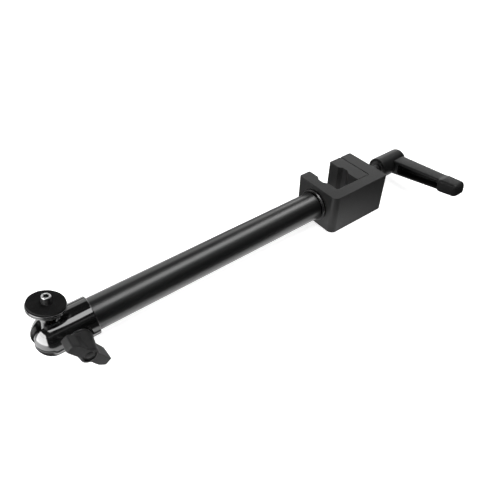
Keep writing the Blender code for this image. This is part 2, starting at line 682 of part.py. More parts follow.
def build_camera_plate(look):
    low = NECK_TOP + GAP
    high = low + PLATE_T
    rim_r = PLATE_D / 2
    bore_r = CAMERA_STUD_D / 2 + GAP
    rim_low = high - PLATE_RIM_T
    profile = [(low, bore_r), (low, NECK_TOP_D / 2 + 0.9), (low + 0.6, NECK_TOP_D / 2 + 1.4),
               (rim_low - 0.5, rim_r - 3.0), (rim_low, rim_r - 0.8), (rim_low + 0.7, rim_r),
               (high - 0.6, rim_r), (high, rim_r - 0.5), (high, bore_r)]
    plate = turned("platform_plate", profile, "Z", (BALL_X, 0, 0), look, 48, ring=True)
    plate.rotation_euler = (0, REST_TILT, 0)


def build_camera_pad(look):
    low = NECK_TOP + 2 * GAP + PLATE_T
    high = low + PAD_T
    outer = PLATE_D / 2 - PAD_INSET
    inner = CAMERA_STUD_D / 2 + GAP
    profile = [(low, inner), (low, outer), (high - 0.4, outer), (high, outer - 0.4), (high, inner)]
    pad = turned("platform_pad", profile, "Z", (BALL_X, 0, 0), look, 48, ring=True)
    pad.rotation_euler = (0, REST_TILT, 0)


def build_camera_stud(look):
    low = NECK_TOP + PLATE_SPIGOT_LENGTH + GAP
    high = NECK_TOP + 2 * GAP + PLATE_T + PAD_T + CAMERA_STUD_REACH
    radius = CAMERA_STUD_D / 2
    profile = [(low, 0), (low, radius), (high - 0.6, radius), (high, radius - 0.6), (high, 0)]
    stud = turned("camera_stud", profile, "Z", (BALL_X, 0, 0), look, 32)
    socket = hex_socket("camera_stud_socket", 3.2, high - 2.4, high + 1, "Z", (BALL_X, 0, 0))
    combine(stud, socket)
    stud.rotation_euler = (0, REST_TILT, 0)
    socket.rotation_euler = (0, REST_TILT, 0)


def cone_start_y():
    """Place on the lock screw's axis where its plain shank turns into the cone."""
    return CONE_PAST_AXIS - (LOCK_D / 2 - CONE_TIP_R) / math.tan(CONE_HALF_ANGLE)


def build_brake_piston(look):
    """Piston with a ball cup in a tapered nose that clears the neck, and a slanted face behind.
    The face is parallel to the screw's cone, and its foot clears the shank over the whole travel."""
    front_x = BALL_X + BALL_D / 2 - PISTON_CUP_DEPTH
    radius = BORE_R - GAP
    profile = [(front_x, 0), (front_x, PISTON_NOSE_R), (front_x + PISTON_NOSE_BACK, radius),
               (KNOB_X, radius), (KNOB_X, 0)]
    piston = turned("brake_piston", profile, "X", (0, 0, 0), look, 32)
    cup_profile = arc(0, 0, BORE_R, 180, 0, 12)
    cup_profile[0] = (-BORE_R, 0)
    cup_profile[-1] = (BORE_R, 0)
    combine(piston, turned("piston_cup", cup_profile, "X", (BALL_X, 0, 0), None, 32))
    far = BALL_D
    low_x = KNOB_X - LOCK_D / 2 - GAP - KNOB_TRAVEL * math.tan(CONE_HALF_ANGLE)
    high_x = KNOB_X - CONE_TIP_R - GAP
    outline = [(low_x, -far), (low_x, cone_start_y() - KNOB_TRAVEL), (high_x, CONE_PAST_AXIS), (high_x, far),
               (KNOB_X + far, far), (KNOB_X + far, -far)]
    combine(piston, extruded("piston_wedge", outline, -far, far, "Z", (0, 0, 0), None))


def knob_base_y():
    """Inner face of the knob, outside its washer."""
    return -SEAT_OFFSET - KNOB_WASHER_T - 2 * GAP


def build_lock_screw(look):
    outer_y = knob_base_y() - KNOB_LENGTH + CAP_RECESS_DEPTH + 1.6
    radius = LOCK_D / 2
    profile = [(outer_y, 0), (outer_y, radius - 0.5), (outer_y + 0.5, radius),
               (cone_start_y(), radius), (CONE_PAST_AXIS, CONE_TIP_R), (CONE_PAST_AXIS, 0)]
    turned("lock_screw", profile, "Y", (KNOB_X, 0, 0), look, 32)


def build_knob_washer(look):
    outer_y = -SEAT_OFFSET - GAP - KNOB_WASHER_T
    inner_r = LOCK_D / 2 + GAP
    outer_r = KNOB_WASHER_D / 2
    profile = [(outer_y, inner_r), (outer_y, outer_r), (outer_y + KNOB_WASHER_T, outer_r),
               (outer_y + KNOB_WASHER_T, inner_r)]
    turned("knob_washer", profile, "Y", (KNOB_X, 0, 0), look, 48, ring=True)


def wing_flank(reach, half_width):
    """Direction and distance of a flank that narrows from the knob's middle to a wing's tip."""
    tip_half = WING_TIP_W / 2
    side = Vector((half_width - tip_half, reach - 2.0)).normalized()
    return math.atan2(side.y, side.x), reach * side.x + tip_half * side.y


def knob_radius(angle, reach, half_width, hub_r):
    """Distance to the wings' outline, joined to the hub's circle. Each wing has a full flank on
    one side and a slim one on the other, so half a turn brings the outline back on itself."""
    power = 16.0
    lean, distance = wing_flank(reach, half_width)
    slim_lean, slim_distance = wing_flank(reach, WING_TIP_W / 2 + WING_SLIM)
    sides = [(0.0, reach), (math.pi, reach), (math.pi - lean, distance), (-lean, distance),
             (slim_lean, slim_distance), (math.pi + slim_lean, slim_distance)]
    total = 0.0
    for turn, far in sides:
        total += max(math.cos(angle - turn) / far, 0.0) ** power
    wing = total ** (-1.0 / power)
    return (wing ** 10 + hub_r ** 10) ** 0.1


def knob_ring(depth, reach, half_width, hub_r):
    """Ring across the knob, its points set closer together at the wings' tips."""
    ring = []
    count = 56
    for index in range(count):
        step = 2 * math.pi * index / count
        angle = step - 0.38 * math.sin(2 * step)
        radius = knob_radius(angle, reach, half_width, hub_r)
        x = radius * math.cos(angle + WING_ANGLE)
        z = radius * math.sin(angle + WING_ANGLE)
        ring.append(Vector((x, -depth, z)))
    return ring


def build_wing_knob(look):
    base = -knob_base_y()
    tip = base + KNOB_LENGTH
    hub_r = KNOB_HUB_D / 2
    stations = [(base, 6.0, 4.0, hub_r), (base + 2.0, 6.0, 4.0, hub_r + 0.1),
                (base + WING_START, WING_REACH - 0.6, WING_HALF_W + 0.3, hub_r - 0.7),
                (tip - 1.2, WING_REACH, WING_HALF_W, hub_r - 2.1),
                (tip, WING_REACH - 1.0, WING_HALF_W - 0.9, hub_r - 2.7)]
    knob = lofted("wing_knob", [knob_ring(*station) for station in stations], (KNOB_X, 0, 0), look, 35.0)
    outer_y = knob_base_y() - KNOB_LENGTH
    combine(knob, plain_cylinder("cap_recess", CAP_RECESS_D / 2, outer_y - 1, outer_y + CAP_RECESS_DEPTH,
                                 "Y", (KNOB_X, 0, 0), 48))
    screw_outer = outer_y + CAP_RECESS_DEPTH + 1.6
    combine(knob, plain_cylinder("knob_core", LOCK_D / 2 + GAP, screw_outer - GAP, knob_base_y() + 1,
                                 "Y", (KNOB_X, 0, 0)))


def build_knob_cap(look):
    inner_y = knob_base_y() - KNOB_LENGTH + CAP_RECESS_DEPTH - GAP
    radius = CAP_RECESS_D / 2 - GAP
    profile = [(inner_y, 0), (inner_y, radius), (inner_y - CAP_T * 0.6, radius),
               (inner_y - CAP_T, radius - 1.0), (inner_y - CAP_T * 1.1, 0)]
    turned("knob_cap", profile, "Y", (KNOB_X, 0, 0), look, 48)


def build():
    clear_scene()
    satin_black = make_material("satin_black", (0.018, 0.018, 0.019), 0.34, 0.3)
    gloss_black = make_material("gloss_black", (0.012, 0.012, 0.013), 0.08, 0.2)
    matte_black = make_material("matte_black", (0.045, 0.046, 0.047), 0.55, 0.2)
    moulded_black = make_material("moulded_black", (0.035, 0.035, 0.036), 0.5, 0.0)
    rubber_black = make_material("rubber_black", (0.02, 0.02, 0.02), 0.85, 0.0)
    steel = make_material("steel", (0.55, 0.55, 0.56), 0.3, 1.0)
    dark_steel = make_material("dark_steel", (0.08, 0.08, 0.085), 0.4, 0.9)
    aluminium = make_material("aluminium", (0.5, 0.5, 0.51), 0.35, 1.0)
    bronze = make_material("bronze", (0.45, 0.3, 0.12), 0.4, 1.0)

    build_arm_tube(satin_black)
    build_clamp_end_plug(aluminium)
    build_clamp_body(matte_black)
    build_grub_screw("clamp_grub_screw", GRUB_X_CLAMP, -CLAMP_H / 2 + 1.5, -STUD_D / 2 - GAP, dark_steel)
    build_moving_jaw(matte_black)
    build_thrust_washer(bronze)
    build_jaw_set_screw(dark_steel)
    build_clamp_screw(dark_steel)
    build_lever_insert(dark_steel)
    build_lever_spring(steel)
    build_lever_screw(dark_steel)
    build_lever_handle(moulded_black)
    build_head_end_plug(aluminium)
    build_head_housing(gloss_black)
    build_grub_screw("head_grub_screw", GRUB_X_HEAD, -HEAD_R + 0.8, -TUBE_BORE_R + 1.6, dark_steel)
    build_brake_piston(bronze)
    build_lock_screw(dark_steel)
    build_knob_washer(dark_steel)
    build_wing_knob(moulded_black)
    build_knob_cap(moulded_black)
    build_ball(gloss_black)
    build_ball_neck(gloss_black)
    build_camera_plate(gloss_black)
    build_camera_pad(rubber_black)
    build_camera_stud(steel)


build()
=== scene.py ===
# Looks of a clamp-on mount arm: a C clamp with a sliding jaw and a clamping lever, a straight tube,
# and a slotted ball head with a wing knob and a stud platform.
# Shapes are worked out in millimetres in the frame's own axes and become metres in the mesh.
import json
import math

import bmesh
import bpy
import numpy as np
from mathutils import Matrix, Vector


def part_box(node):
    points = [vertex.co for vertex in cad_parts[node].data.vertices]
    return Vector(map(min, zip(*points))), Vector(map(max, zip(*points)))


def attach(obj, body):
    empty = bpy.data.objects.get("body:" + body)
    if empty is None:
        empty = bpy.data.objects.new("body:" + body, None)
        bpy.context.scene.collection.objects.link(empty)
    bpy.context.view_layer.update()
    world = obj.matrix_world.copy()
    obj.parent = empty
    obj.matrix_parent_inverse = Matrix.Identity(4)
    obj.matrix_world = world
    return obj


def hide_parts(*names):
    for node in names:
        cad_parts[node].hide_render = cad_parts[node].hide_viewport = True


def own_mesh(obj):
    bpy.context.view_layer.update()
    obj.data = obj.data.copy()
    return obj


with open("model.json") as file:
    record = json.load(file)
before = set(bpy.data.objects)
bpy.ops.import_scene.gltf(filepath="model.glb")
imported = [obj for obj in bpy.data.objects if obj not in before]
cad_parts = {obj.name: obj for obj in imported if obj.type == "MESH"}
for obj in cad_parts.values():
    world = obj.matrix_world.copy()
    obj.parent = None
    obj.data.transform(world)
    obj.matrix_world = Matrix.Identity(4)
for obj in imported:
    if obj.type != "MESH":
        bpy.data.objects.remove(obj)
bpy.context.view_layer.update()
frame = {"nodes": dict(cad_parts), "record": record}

MM = 0.001
TURN = 2 * math.pi


# Sizes and places in millimetres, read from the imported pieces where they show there

def span(node):
    """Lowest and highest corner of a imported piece, in millimetres."""
    low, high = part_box(node)
    return np.array(low) / MM, np.array(high) / MM


JOINTS = {joint["name"]: joint for joint in frame["record"]["behaviour"]["joints"]}
ROOM = 0.3          # between neighbouring pieces
PAST = 2            # how far a cutter reaches out of a face
TUBE_LOW, TUBE_HIGH = span("arm_tube")
HEAD_HIGH = span("head_housing")[1]
CLAMP_LOW, CLAMP_HIGH = span("clamp_body")
PLUG_LOW, PLUG_HIGH = span("clamp_end_plug")
JAW_LOW, JAW_HIGH = span("moving_jaw")
WASHER_LOW, WASHER_HIGH = span("knob_washer")
KNOB_LOW, KNOB_HIGH = span("wing_knob")
TUBE_R = TUBE_HIGH[1]
TUBE_BORE_R = TUBE_R - 1.5
PLUG_RIM_X = CLAMP_LOW[0] - ROOM - 2.6
SCREW_Y = 5.6
SCREW_R, SCREW_PITCH = 4.0, 1.25
SCREW_TIP_R = 3.0
SET_SCREW_X = JAW_HIGH[0] - 3.95
GRUB_BORE_R = 2.3
HUB_X = span("lever_handle")[0][0]
HUB_L, HUB_R = 31.6, 10.4
ARM_L = 77.4
ARM_LEAN = math.radians(5.5)
PADDLE_AT = 58.5
NOSE_AT, NOSE_L = ARM_L - 4.9, 5.5
HEAD_R = HEAD_HIGH[1]
BALL_X = JOINTS["head_tilt"]["pos_m"][0] / MM
BALL_R = 7.5
BALL_FLAT = math.sqrt(BALL_R ** 2 - 3.4 ** 2)
SEAT_R = BALL_R + ROOM
DOME_X, DOME_L = BALL_X + 3.0, 12.0
SLOT_NEAR, SLOT_FAR = math.radians(30.3), math.radians(-120.0)
SLOT_HALF = 4.0
NECK_TOP = 24.3     # this and the next three lines: up the stem from the ball's centre
PLATE_LOW, PLATE_HIGH = 24.6, 29.8
PAD_LOW, PAD_HIGH = 30.1, 31.6
STUD_LOW, STUD_HIGH = 26.9, 37.0
STUD_R, STUD_PITCH = 3.175, 1.27
STUD_BORE_R = STUD_R + ROOM
KNOB_X = (WASHER_LOW[0] + WASHER_HIGH[0]) / 2
KNOB_BASE, KNOB_TIP = -KNOB_HIGH[1], -KNOB_LOW[1]
KNOB_SPOT = 13.8
LOCK_R, LOCK_PITCH = 3.0, 1.0
LOCK_BORE_R = LOCK_R + ROOM

ALONG_X = np.array((1.0, 0.0, 0.0))
OUT_Y = np.array((0.0, -1.0, 0.0))
DOWN_Z = np.array((0.0, 0.0, -1.0))
UP_Z = np.array((0.0, 0.0, 1.0))
STEM_TILT = math.radians(16.3)
STEM = np.array((math.sin(STEM_TILT), 0.0, math.cos(STEM_TILT)))
ORIGIN = np.array((0.0, 0.0, 0.0))
BALL = np.array((BALL_X, 0.0, 0.0))
SCREW = np.array((0.0, SCREW_Y, 0.0))
KNOB = np.array((KNOB_X, 0.0, 0.0))


# Surfaces

def unit(vectors):
    """The same directions at length 1, for one vector or for rows of them."""
    return vectors / np.linalg.norm(vectors, axis=-1, keepdims=True)


def softened(corners, steps=6, closed=True):
    """Path through corners (a, b, radius). Each becomes an arc that touches both of its sides,
    centre + radius (cos, sin) over the turn. A lead point past each end of the arc keeps the flats
    flat in the shading."""
    lead = 0.15
    path = []
    count = len(corners)
    for index, (a, b, radius) in enumerate(corners):
        here = np.array((a, b), float)
        if radius <= 0 or (not closed and index in (0, count - 1)):
            path.append(here[None])
            continue
        before = np.array(corners[index - 1][:2]) - here
        after = np.array(corners[(index + 1) % count][:2]) - here
        room = min(np.linalg.norm(before), np.linalg.norm(after))
        before = unit(before)
        after = unit(after)
        half = math.acos(max(-1.0, min(1.0, before @ after))) / 2
        reach = min(radius / math.tan(half), 0.46 * room)
        radius = reach * math.tan(half)
        centre = here + unit(before + after) * radius / math.sin(half)
        start = here + before * reach - centre
        end = here + after * reach - centre
        sweep = math.atan2(start[0] * end[1] - start[1] * end[0], start @ end)
        turn = np.linspace(0, sweep, steps + 1)[:, None]
        across = np.array((-start[1], start[0]))
        out = reach + min(lead, 0.4 * (room - reach))
        path.append(here[None] + before * out)
        path.append(centre + start * np.cos(turn) + across * np.sin(turn))
        path.append(here[None] + after * out)
    return np.concatenate(path)


def axes_for(direction):
    """Three unit vectors: the direction, and two square to it, as the columns of a matrix."""
    first = unit(np.array(direction, float))
    helper = UP_Z if abs(first[2]) < 0.9 else ALONG_X
    second = unit(np.cross(helper, first))
    return np.stack([first, second, np.cross(first, second)], 1)


def spun(profile, axis, at, turns, swell=None):
    """Surface of revolution. A profile of (along, radius) is carried round an axis:
    point = place + along * axis + radius (cos t, sin t) in the plane square to the axis.
    swell(along, t) adds to the radius, for teeth, threads and hexagons."""
    t = np.linspace(0, TURN, turns, endpoint=False)[None, :]
    profile = np.asarray(profile, float)
    along = profile[:, 0, None] + 0 * t
    radius = profile[:, 1, None] + 0 * t
    if swell is not None:
        radius = radius + swell(along, t)
    local = np.stack([along, radius * np.cos(t), radius * np.sin(t)], -1)
    return local @ axes_for(axis).T + at


def grid_faces(rows, columns, ring):
    """Quads between neighbours of a grid of points. Columns close round, and rows do for a ring."""
    r = np.arange(rows if ring else rows - 1)[:, None]
    c = np.arange(columns)[None, :]
    below = (r + 1) % rows
    right = (c + 1) % columns
    quads = np.stack([r * columns + c, r * columns + right, below * columns + right,
                      below * columns + c], -1)
    return quads.reshape(-1, 4).tolist()


def make_piece(name, grid, kind, crease=35.0):
    """One object from a grid of points in millimetres. Kind is ring for a closed profile, capped
    for end rows that are closed by a face, and pole for a profile that ends in points."""
    rows, columns = grid.shape[:2]
    faces = grid_faces(rows, columns, kind == "ring")
    if kind == "capped":
        faces += [list(range(columns)), list(range((rows - 1) * columns, rows * columns))]
    mesh = bpy.data.meshes.new(name)
    mesh.from_pydata(grid.reshape(-1, 3) * MM, [], faces)
    piece = bpy.data.objects.new(name, mesh)
    bpy.context.collection.objects.link(piece)
    tidy_mesh(piece, crease)
    return piece


def tidy_mesh(piece, crease):
    """Close seams and poles, turn the faces outwards and shade smooth up to the crease angle."""
    edit = bmesh.new()
    edit.from_mesh(piece.data)
    bmesh.ops.remove_doubles(edit, verts=edit.verts, dist=2e-7)
    bmesh.ops.dissolve_degenerate(edit, edges=edit.edges, dist=1e-8)
    bmesh.ops.recalc_face_normals(edit, faces=edit.faces)
    edit.to_mesh(piece.data)
    edit.free()
    piece.data.shade_smooth()
    piece.data.set_sharp_from_angle(angle=math.radians(crease))


def change_solid(piece, tools, how="DIFFERENCE", crease=35.0):
    """Take tools away from a piece, or join them to it, and keep the result as its own mesh."""
    for tool in tools:
        step = piece.modifiers.new("change", "BOOLEAN")
        step.operation = how
        step.solver = "EXACT"
        step.object = tool
    seen = piece.evaluated_get(bpy.context.evaluated_depsgraph_get())
    made = bpy.data.meshes.new_from_object(seen)
    piece.modifiers.clear()
    piece.data = made
    for tool in tools:
        bpy.data.objects.remove(tool)
    tidy_mesh(piece, crease)


def round_edges(piece, width):
    """Small rounding along every sharp edge."""
    step = piece.modifiers.new("round", "BEVEL")
    step.width = width * MM
    step.segments = 2
    step.limit_method = "ANGLE"
    step.angle_limit = math.radians(40.0)
    step.harden_normals = True


def dress(piece, look, body, node):
    """Give a piece its finish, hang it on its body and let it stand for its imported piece."""
    piece.data.materials.clear()
    piece.data.materials.append(look)
    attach(piece, body)
    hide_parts(node)
    return piece


def turned(name, corners, steps, turns, axis=ALONG_X, at=ORIGIN, swell=None):
    """Turned piece from the corners (along, radius, rounding) of its profile. A profile that starts
    on the axis ends there too, and any other closes into a ring."""
    closed = corners[0][1] > 0
    rows = softened(corners, steps, closed)
    return make_piece(name, spun(rows, axis, at, turns, swell), "ring" if closed else "pole")


def bar(name, radius, low, high, axis, at, turns=64):
    """Round cutter between two places along an axis."""
    profile = [(low, 0), (low, radius), (high, radius), (high, 0)]
    return make_piece(name, spun(profile, axis, at, turns), "pole")


def slab(outline, half, edge):
    """Plate from a closed outline, between -half and +half in Z. At each rim the outline moves
    inwards by edge (1 - cos t) and up by edge sin t, so that both rims are rounded."""
    tangent = unit(np.roll(outline, -1, 0) - outline) + unit(outline - np.roll(outline, 1, 0))
    tangent = unit(tangent)
    x, y = outline.T
    area = np.sum(x * np.roll(y, -1) - np.roll(x, -1) * y)
    outward = np.stack([tangent[:, 1], -tangent[:, 0]], 1) * np.sign(area)
    t = np.linspace(0, math.pi / 2, 6)
    inwards = np.concatenate([[0], edge * (1 - np.cos(t)), [edge + 0.12]])
    height = np.concatenate([[half - edge - 0.15], half - edge + edge * np.sin(t), [half]])
    inwards = np.concatenate([inwards[::-1], inwards])
    height = np.concatenate([-height[::-1], height])
    flat = outline[None] - outward[None] * inwards[:, None, None]
    level = np.broadcast_to(height[:, None, None], flat.shape[:2] + (1,))
    return np.concatenate([flat, level], -1)


def smooth_step(low, high, value):
    """0 below low, 1 above high, and 3 t^2 - 2 t^3 in between."""
    t = np.clip((value - low) / (high - low), 0, 1)
    return t * t * (3 - 2 * t)


def thread(pitch, depth, low, high):
    """Radius added by a thread: a flat-topped ridge that climbs one pitch a turn and fades out over
    half a pitch at each end."""
    def swell(along, t):
        phase = (along / pitch - t / TURN) % 1.0
        ridge = np.clip(1.25 - 2.6 * np.abs(phase - 0.5), 0.0, 1.0)
        fade = np.clip(np.minimum(along - low, high - along) / (0.5 * pitch), 0, 1)
        return -depth * (1 - ridge) * fade
    return swell


def hexagon(across, low, high):
    """Radius of a hexagonal recess less that of its round: across / 2 / cos of the angle from the
    nearest flat, between two places along the axis."""
    def swell(along, t):
        flat = (across / 2) / np.cos((t + math.pi / 6) % (math.pi / 3) - math.pi / 6)
        return np.where((along >= low) & (along <= high), flat - across / 2, 0.0)
    return swell


# Finishes

class Wire:
    """A shader socket that takes part in sums and products like a number."""

    def __init__(self, finish, socket):
        self.finish = finish
        self.socket = socket

    def __add__(self, other):
        return self.finish.maths("ADD", self, other)

    def __radd__(self, other):
        return self.finish.maths("ADD", other, self)

    def __sub__(self, other):
        return self.finish.maths("SUBTRACT", self, other)

    def __rsub__(self, other):
        return self.finish.maths("SUBTRACT", other, self)

    def __mul__(self, other):
        return self.finish.maths("MULTIPLY", self, other)

    def __rmul__(self, other):
        return self.finish.maths("MULTIPLY", other, self)

    def __pow__(self, other):
        return self.finish.maths("POWER", self, other)

    def between(self, low, high):
        """0 below low, 1 above high, and smooth in between."""
        settings = {"interpolation_type": "SMOOTHSTEP"}
        return self.finish.node("ShaderNodeMapRange", settings, {0: self, 1: low, 2: high})

    def below(self, low, high):
        """1 below low, 0 above high, and smooth in between."""
        return 1.0 - self.between(low, high)


class Finish:
    """A procedural material, built from object coordinates."""

    def __init__(self, name, **fixed):
        self.material = bpy.data.materials.new(name)
        self.material.use_nodes = True
        self.tree = self.material.node_tree
        self.tree.nodes.clear()
        output = self.tree.nodes.new("ShaderNodeOutputMaterial")
        self.shader = self.tree.nodes.new("ShaderNodeBsdfPrincipled")
        self.tree.links.new(self.shader.outputs[0], output.inputs[0])
        for socket, value in fixed.items():
            self.shader.inputs[socket.replace("_", " ")].default_value = value
        self.where = self.node("ShaderNodeTexCoord", output="Object")

    def node(self, kind, settings=None, inputs=None, output=0):
        """Any node: its type, its settings, then the values or links of its sockets."""
        made = self.tree.nodes.new(kind)
        for key, value in (settings or {}).items():
            setattr(made, key, value)
        for key, value in (inputs or {}).items():
            self.feed(made.inputs[key], value)
        return Wire(self, made.outputs[output])

    def feed(self, socket, value):
        if isinstance(value, Wire):
            self.tree.links.new(value.socket, socket)
        else:
            socket.default_value = value

    def maths(self, operation, *values):
        return self.node("ShaderNodeMath", {"operation": operation}, dict(enumerate(values)))

    def dot(self, first, second):
        return self.node("ShaderNodeVectorMath", {"operation": "DOT_PRODUCT"},
                         {0: first, 1: second}, "Value")

    def noise(self, scale, detail=2.0, stretch=(1, 1, 1), roughness=0.5):
        """Noise of so many grains a metre, drawn out along an axis where its stretch is below 1."""
        place = self.node("ShaderNodeMapping", {}, {"Vector": self.where, "Scale": stretch})
        inputs = {"Vector": place, "Scale": scale, "Detail": detail, "Roughness": roughness}
        return self.node("ShaderNodeTexNoise", {}, inputs)

    def rings(self, place, scale=9000.0):
        """Marks of a lathe: so many grains a metre along one distance, the same all round."""
        return self.node("ShaderNodeTexNoise", {"noise_dimensions": "1D"},
                         {"W": place, "Scale": scale, "Detail": 2.0})

    def coordinate(self, direction, centre=ORIGIN):
        """Distance in metres along a direction, from a centre in millimetres."""
        moved = self.node("ShaderNodeVectorMath", {"operation": "SUBTRACT"},
                          {0: self.where, 1: tuple(centre * MM)})
        return self.dot(moved, tuple(unit(direction)))

    def radius(self, direction, centre=ORIGIN):
        """Distance in metres from an axis through a centre in millimetres."""
        axes = axes_for(direction)
        a = self.coordinate(axes[:, 1], centre)
        b = self.coordinate(axes[:, 2], centre)
        return (a * a + b * b) ** 0.5

    def edges(self, width):
        """0 on flats and more along edges: how far a normal rounded over so many millimetres leans
        from the true one."""
        leaning = self.node("ShaderNodeBevel", {"samples": 6}, {"Radius": width * MM})
        true = self.node("ShaderNodeNewGeometry", output="Normal")
        return 1.0 - self.dot(leaning, true)

    def painted_hollow_shade(self, reach):
        """Mask for painted shade: 1 deep in gaps and hollows and 0 in the open, over so many
        millimetres.
        """
        reach = {"Distance": reach * MM}
        open_share = self.node("ShaderNodeAmbientOcclusion", {"samples": 8}, reach, "AO")
        return (1.0 - open_share).between(0.15, 0.65)

    def blend(self, share, first, second):
        """Colour between two others, of which a plain number is a grey."""
        first, second = ((c, c, c, 1.0) if isinstance(c, float) else c for c in (first, second))
        return self.node("ShaderNodeMix", {"data_type": "RGBA"}, {0: share, 6: first, 7: second}, 2)

    def done(self, colour, rough, height, relief):
        """The material, with relief of so many millimetres under a height from 0 to 1."""
        normal = self.node("ShaderNodeBump", {}, {"Height": height, "Distance": relief * MM})
        for socket, value in (("Base Color", colour), ("Roughness", rough), ("Normal", normal)):
            self.feed(self.shader.inputs[socket], value)
        return self.material


def satin_black():
    """Black anodised tube, drawn: faint lengthwise lines, a little cloudiness and rubbed spots."""
    look = Finish("satin_black", Specular_IOR_Level=0.5, IOR=1.6)
    lines = look.noise(900, 3, (0.02, 1, 1))
    cloud = look.noise(38, 3)
    grain = look.noise(6500, 2)
    rubbed = look.noise(120, 4).between(0.62, 0.8) * 0.25
    colour = look.blend(lines * 0.5 + cloud * 0.5, 0.0035, 0.0075)
    rough = 0.25 + 0.06 * lines + 0.08 * cloud + 0.1 * rubbed
    return look.done(colour, rough, lines * 0.6 + grain * 0.4, 0.004)


def gloss_black():
    """Black anodised over polished metal: mirror-like, with hairlines and faint orange peel."""
    look = Finish("gloss_black", Specular_IOR_Level=0.5, IOR=1.7)
    peel = look.noise(420, 2)
    hair = look.noise(2600, 2, (1, 0.04, 0.04))
    smear = look.noise(90, 3).between(0.45, 0.75)
    worn = (look.edges(0.35) * 6.0).between(0.25, 1.0) * look.noise(700, 2).between(0.4, 0.6)
    colour = look.blend(worn * 0.5, 0.003, 0.06)
    rough = 0.07 + 0.05 * smear + 0.03 * hair
    return look.done(colour, rough, peel * 0.7 + hair * 0.3, 0.0015)


def matte_black():
    """Bead-blasted and anodised block: fine grain, cloudy grey black, edges rubbed paler, and
    painted shade that darkens gaps and hollows.
    """
    look = Finish("matte_black", Specular_IOR_Level=0.26, IOR=1.5)
    grain = look.noise(5200, 3, roughness=0.7)
    cloud = look.noise(55, 4)
    rub = (look.edges(0.3) * 5.0).between(0.2, 1.0) * look.noise(900, 3).between(0.42, 0.65)
    base = look.blend(0.45 * grain + 0.55 * cloud, 0.010, 0.022)
    base = look.blend(rub * 0.22, base, 0.10)
    # Painted shade: the colour goes near black deep in gaps and hollows, within 12 mm
    colour = look.blend(look.painted_hollow_shade(12.0), base, 0.0015)
    return look.done(colour, 0.32 + 0.12 * grain + 0.05 * cloud - 0.06 * rub, grain, 0.018)


def moulded_black(name, dark, rough, shine):
    """Moulded plastic or powder coat: a fine pebbled skin, a little paler where it is handled, and
    painted shade that darkens gaps and hollows.
    """
    look = Finish(name, Specular_IOR_Level=shine, IOR=1.5)
    pebble = look.node("ShaderNodeTexVoronoi", {"feature": "SMOOTH_F1"},
                       {"Vector": look.where, "Scale": 2600.0, "Smoothness": 0.6}, "Distance")
    cloud = look.noise(70, 3)
    handled = (look.edges(0.8) * 5.0).between(0.15, 1.0)
    base = look.blend(cloud, dark, 1.6 * dark)
    base = look.blend(handled * 0.2, base, 2.4 * dark)
    # Painted shade: the colour goes near black deep in gaps and hollows, within 4 mm
    colour = look.blend(look.painted_hollow_shade(4.0), base, 0.001)
    return look.done(colour, rough + 0.10 * cloud - 0.08 * handled, pebble, 0.02)


def rubber_black(axis, centre):
    """Rubber face with dust, pale specks and a fine crossed rib pattern in the plane of the pad."""
    look = Finish("rubber_black", Specular_IOR_Level=0.08)
    rib_pitch = 0.75
    ribs = [look.maths("SINE", look.coordinate(across, centre) * (TURN / (rib_pitch * MM)))
            for across in axes_for(axis).T[1:]]
    crossed = ribs[0] * ribs[1]
    grain = look.noise(3800, 2)
    dust = look.noise(160, 4).between(0.5, 0.8)
    speck = look.noise(1900, 3, roughness=0.75).between(0.50, 0.66)
    pale = crossed * 0.2 + 0.25 * grain + 0.15 * dust + 0.5 * speck
    colour = look.blend(pale, 0.002, 0.024)
    return look.done(colour, 0.74 + 0.16 * grain, crossed * 0.5 + 0.5 * grain, 0.06)


def turned_metal(name, axis, centre, dark, light, rough, metallic=1.0, painted_shade_below=None):
    """Metal from the lathe: fine rings round its axis, and stains. Below a place along the axis, in
    millimetres, the colour is painted much darker: painted shade for a thread that looks dark under
    its bright end face."""
    look = Finish(name, Metallic=metallic)
    along = look.coordinate(axis, centre)
    out = look.radius(axis, centre)
    rings = look.rings(along + out)
    stain = look.noise(260, 4)
    colour = look.blend(0.5 * rings + 0.5 * stain, dark, light)
    if painted_shade_below is not None:
        # Painted shade: the colour drops to a small share of dark below the end face
        bright = along.between((painted_shade_below - 0.1) * MM, (painted_shade_below + 0.1) * MM)
        colour = look.blend(bright, 0.12 * dark, colour)
    return look.done(colour, rough + 0.1 * stain + 0.06 * rings, rings, 0.004)


def dark_steel(name, axis, centre, light=0.12, rough=0.32):
    """Steel from the lathe, blackened."""
    return turned_metal(name, axis, centre, 0.05, light, rough, 0.9)


def rolled_rim_metal(rim_x, rim_r):
    """Black anodised plug, bare inside the tube and along the outermost line of its rolled rim,
    where the bare band is a painted highlight.
    """
    look = Finish("aluminium_rim", Metallic=1.0)
    along = look.coordinate(ALONG_X)
    out = look.radius(ALONG_X)
    # Painted highlight: a thin band of bare metal round the outermost line of the rolled rim
    line = along.between((rim_x + 0.5) * MM, (rim_x + 0.9) * MM)
    line = line * along.below((rim_x + 1.5) * MM, (rim_x + 1.9) * MM)
    line = line * out.between((rim_r - 0.5) * MM, (rim_r - 0.1) * MM)
    inside = along.below((rim_x - 0.2) * MM, rim_x * MM)
    rings = look.rings(along + out)
    black = look.blend(rings, 0.012, 0.03)
    bare = look.blend(rings, 0.42, 0.62)
    colour = look.blend(look.maths("MAXIMUM", line, inside), black, bare)
    return look.done(colour, 0.24 + 0.1 * rings, rings, 0.004)


def bronze(centre):
    """Plain bearing bronze, turned about an axis along X, with brown stains."""
    look = Finish("bronze", Metallic=1.0)
    rings = look.rings(look.radius(ALONG_X, centre), 8000.0)
    stain = look.noise(300, 4)
    brown, golden = (0.30, 0.17, 0.06, 1), (0.58, 0.40, 0.17, 1)
    colour = look.blend(0.4 * rings + 0.6 * stain, brown, golden)
    return look.done(colour, 0.3 + 0.2 * stain, rings, 0.004)


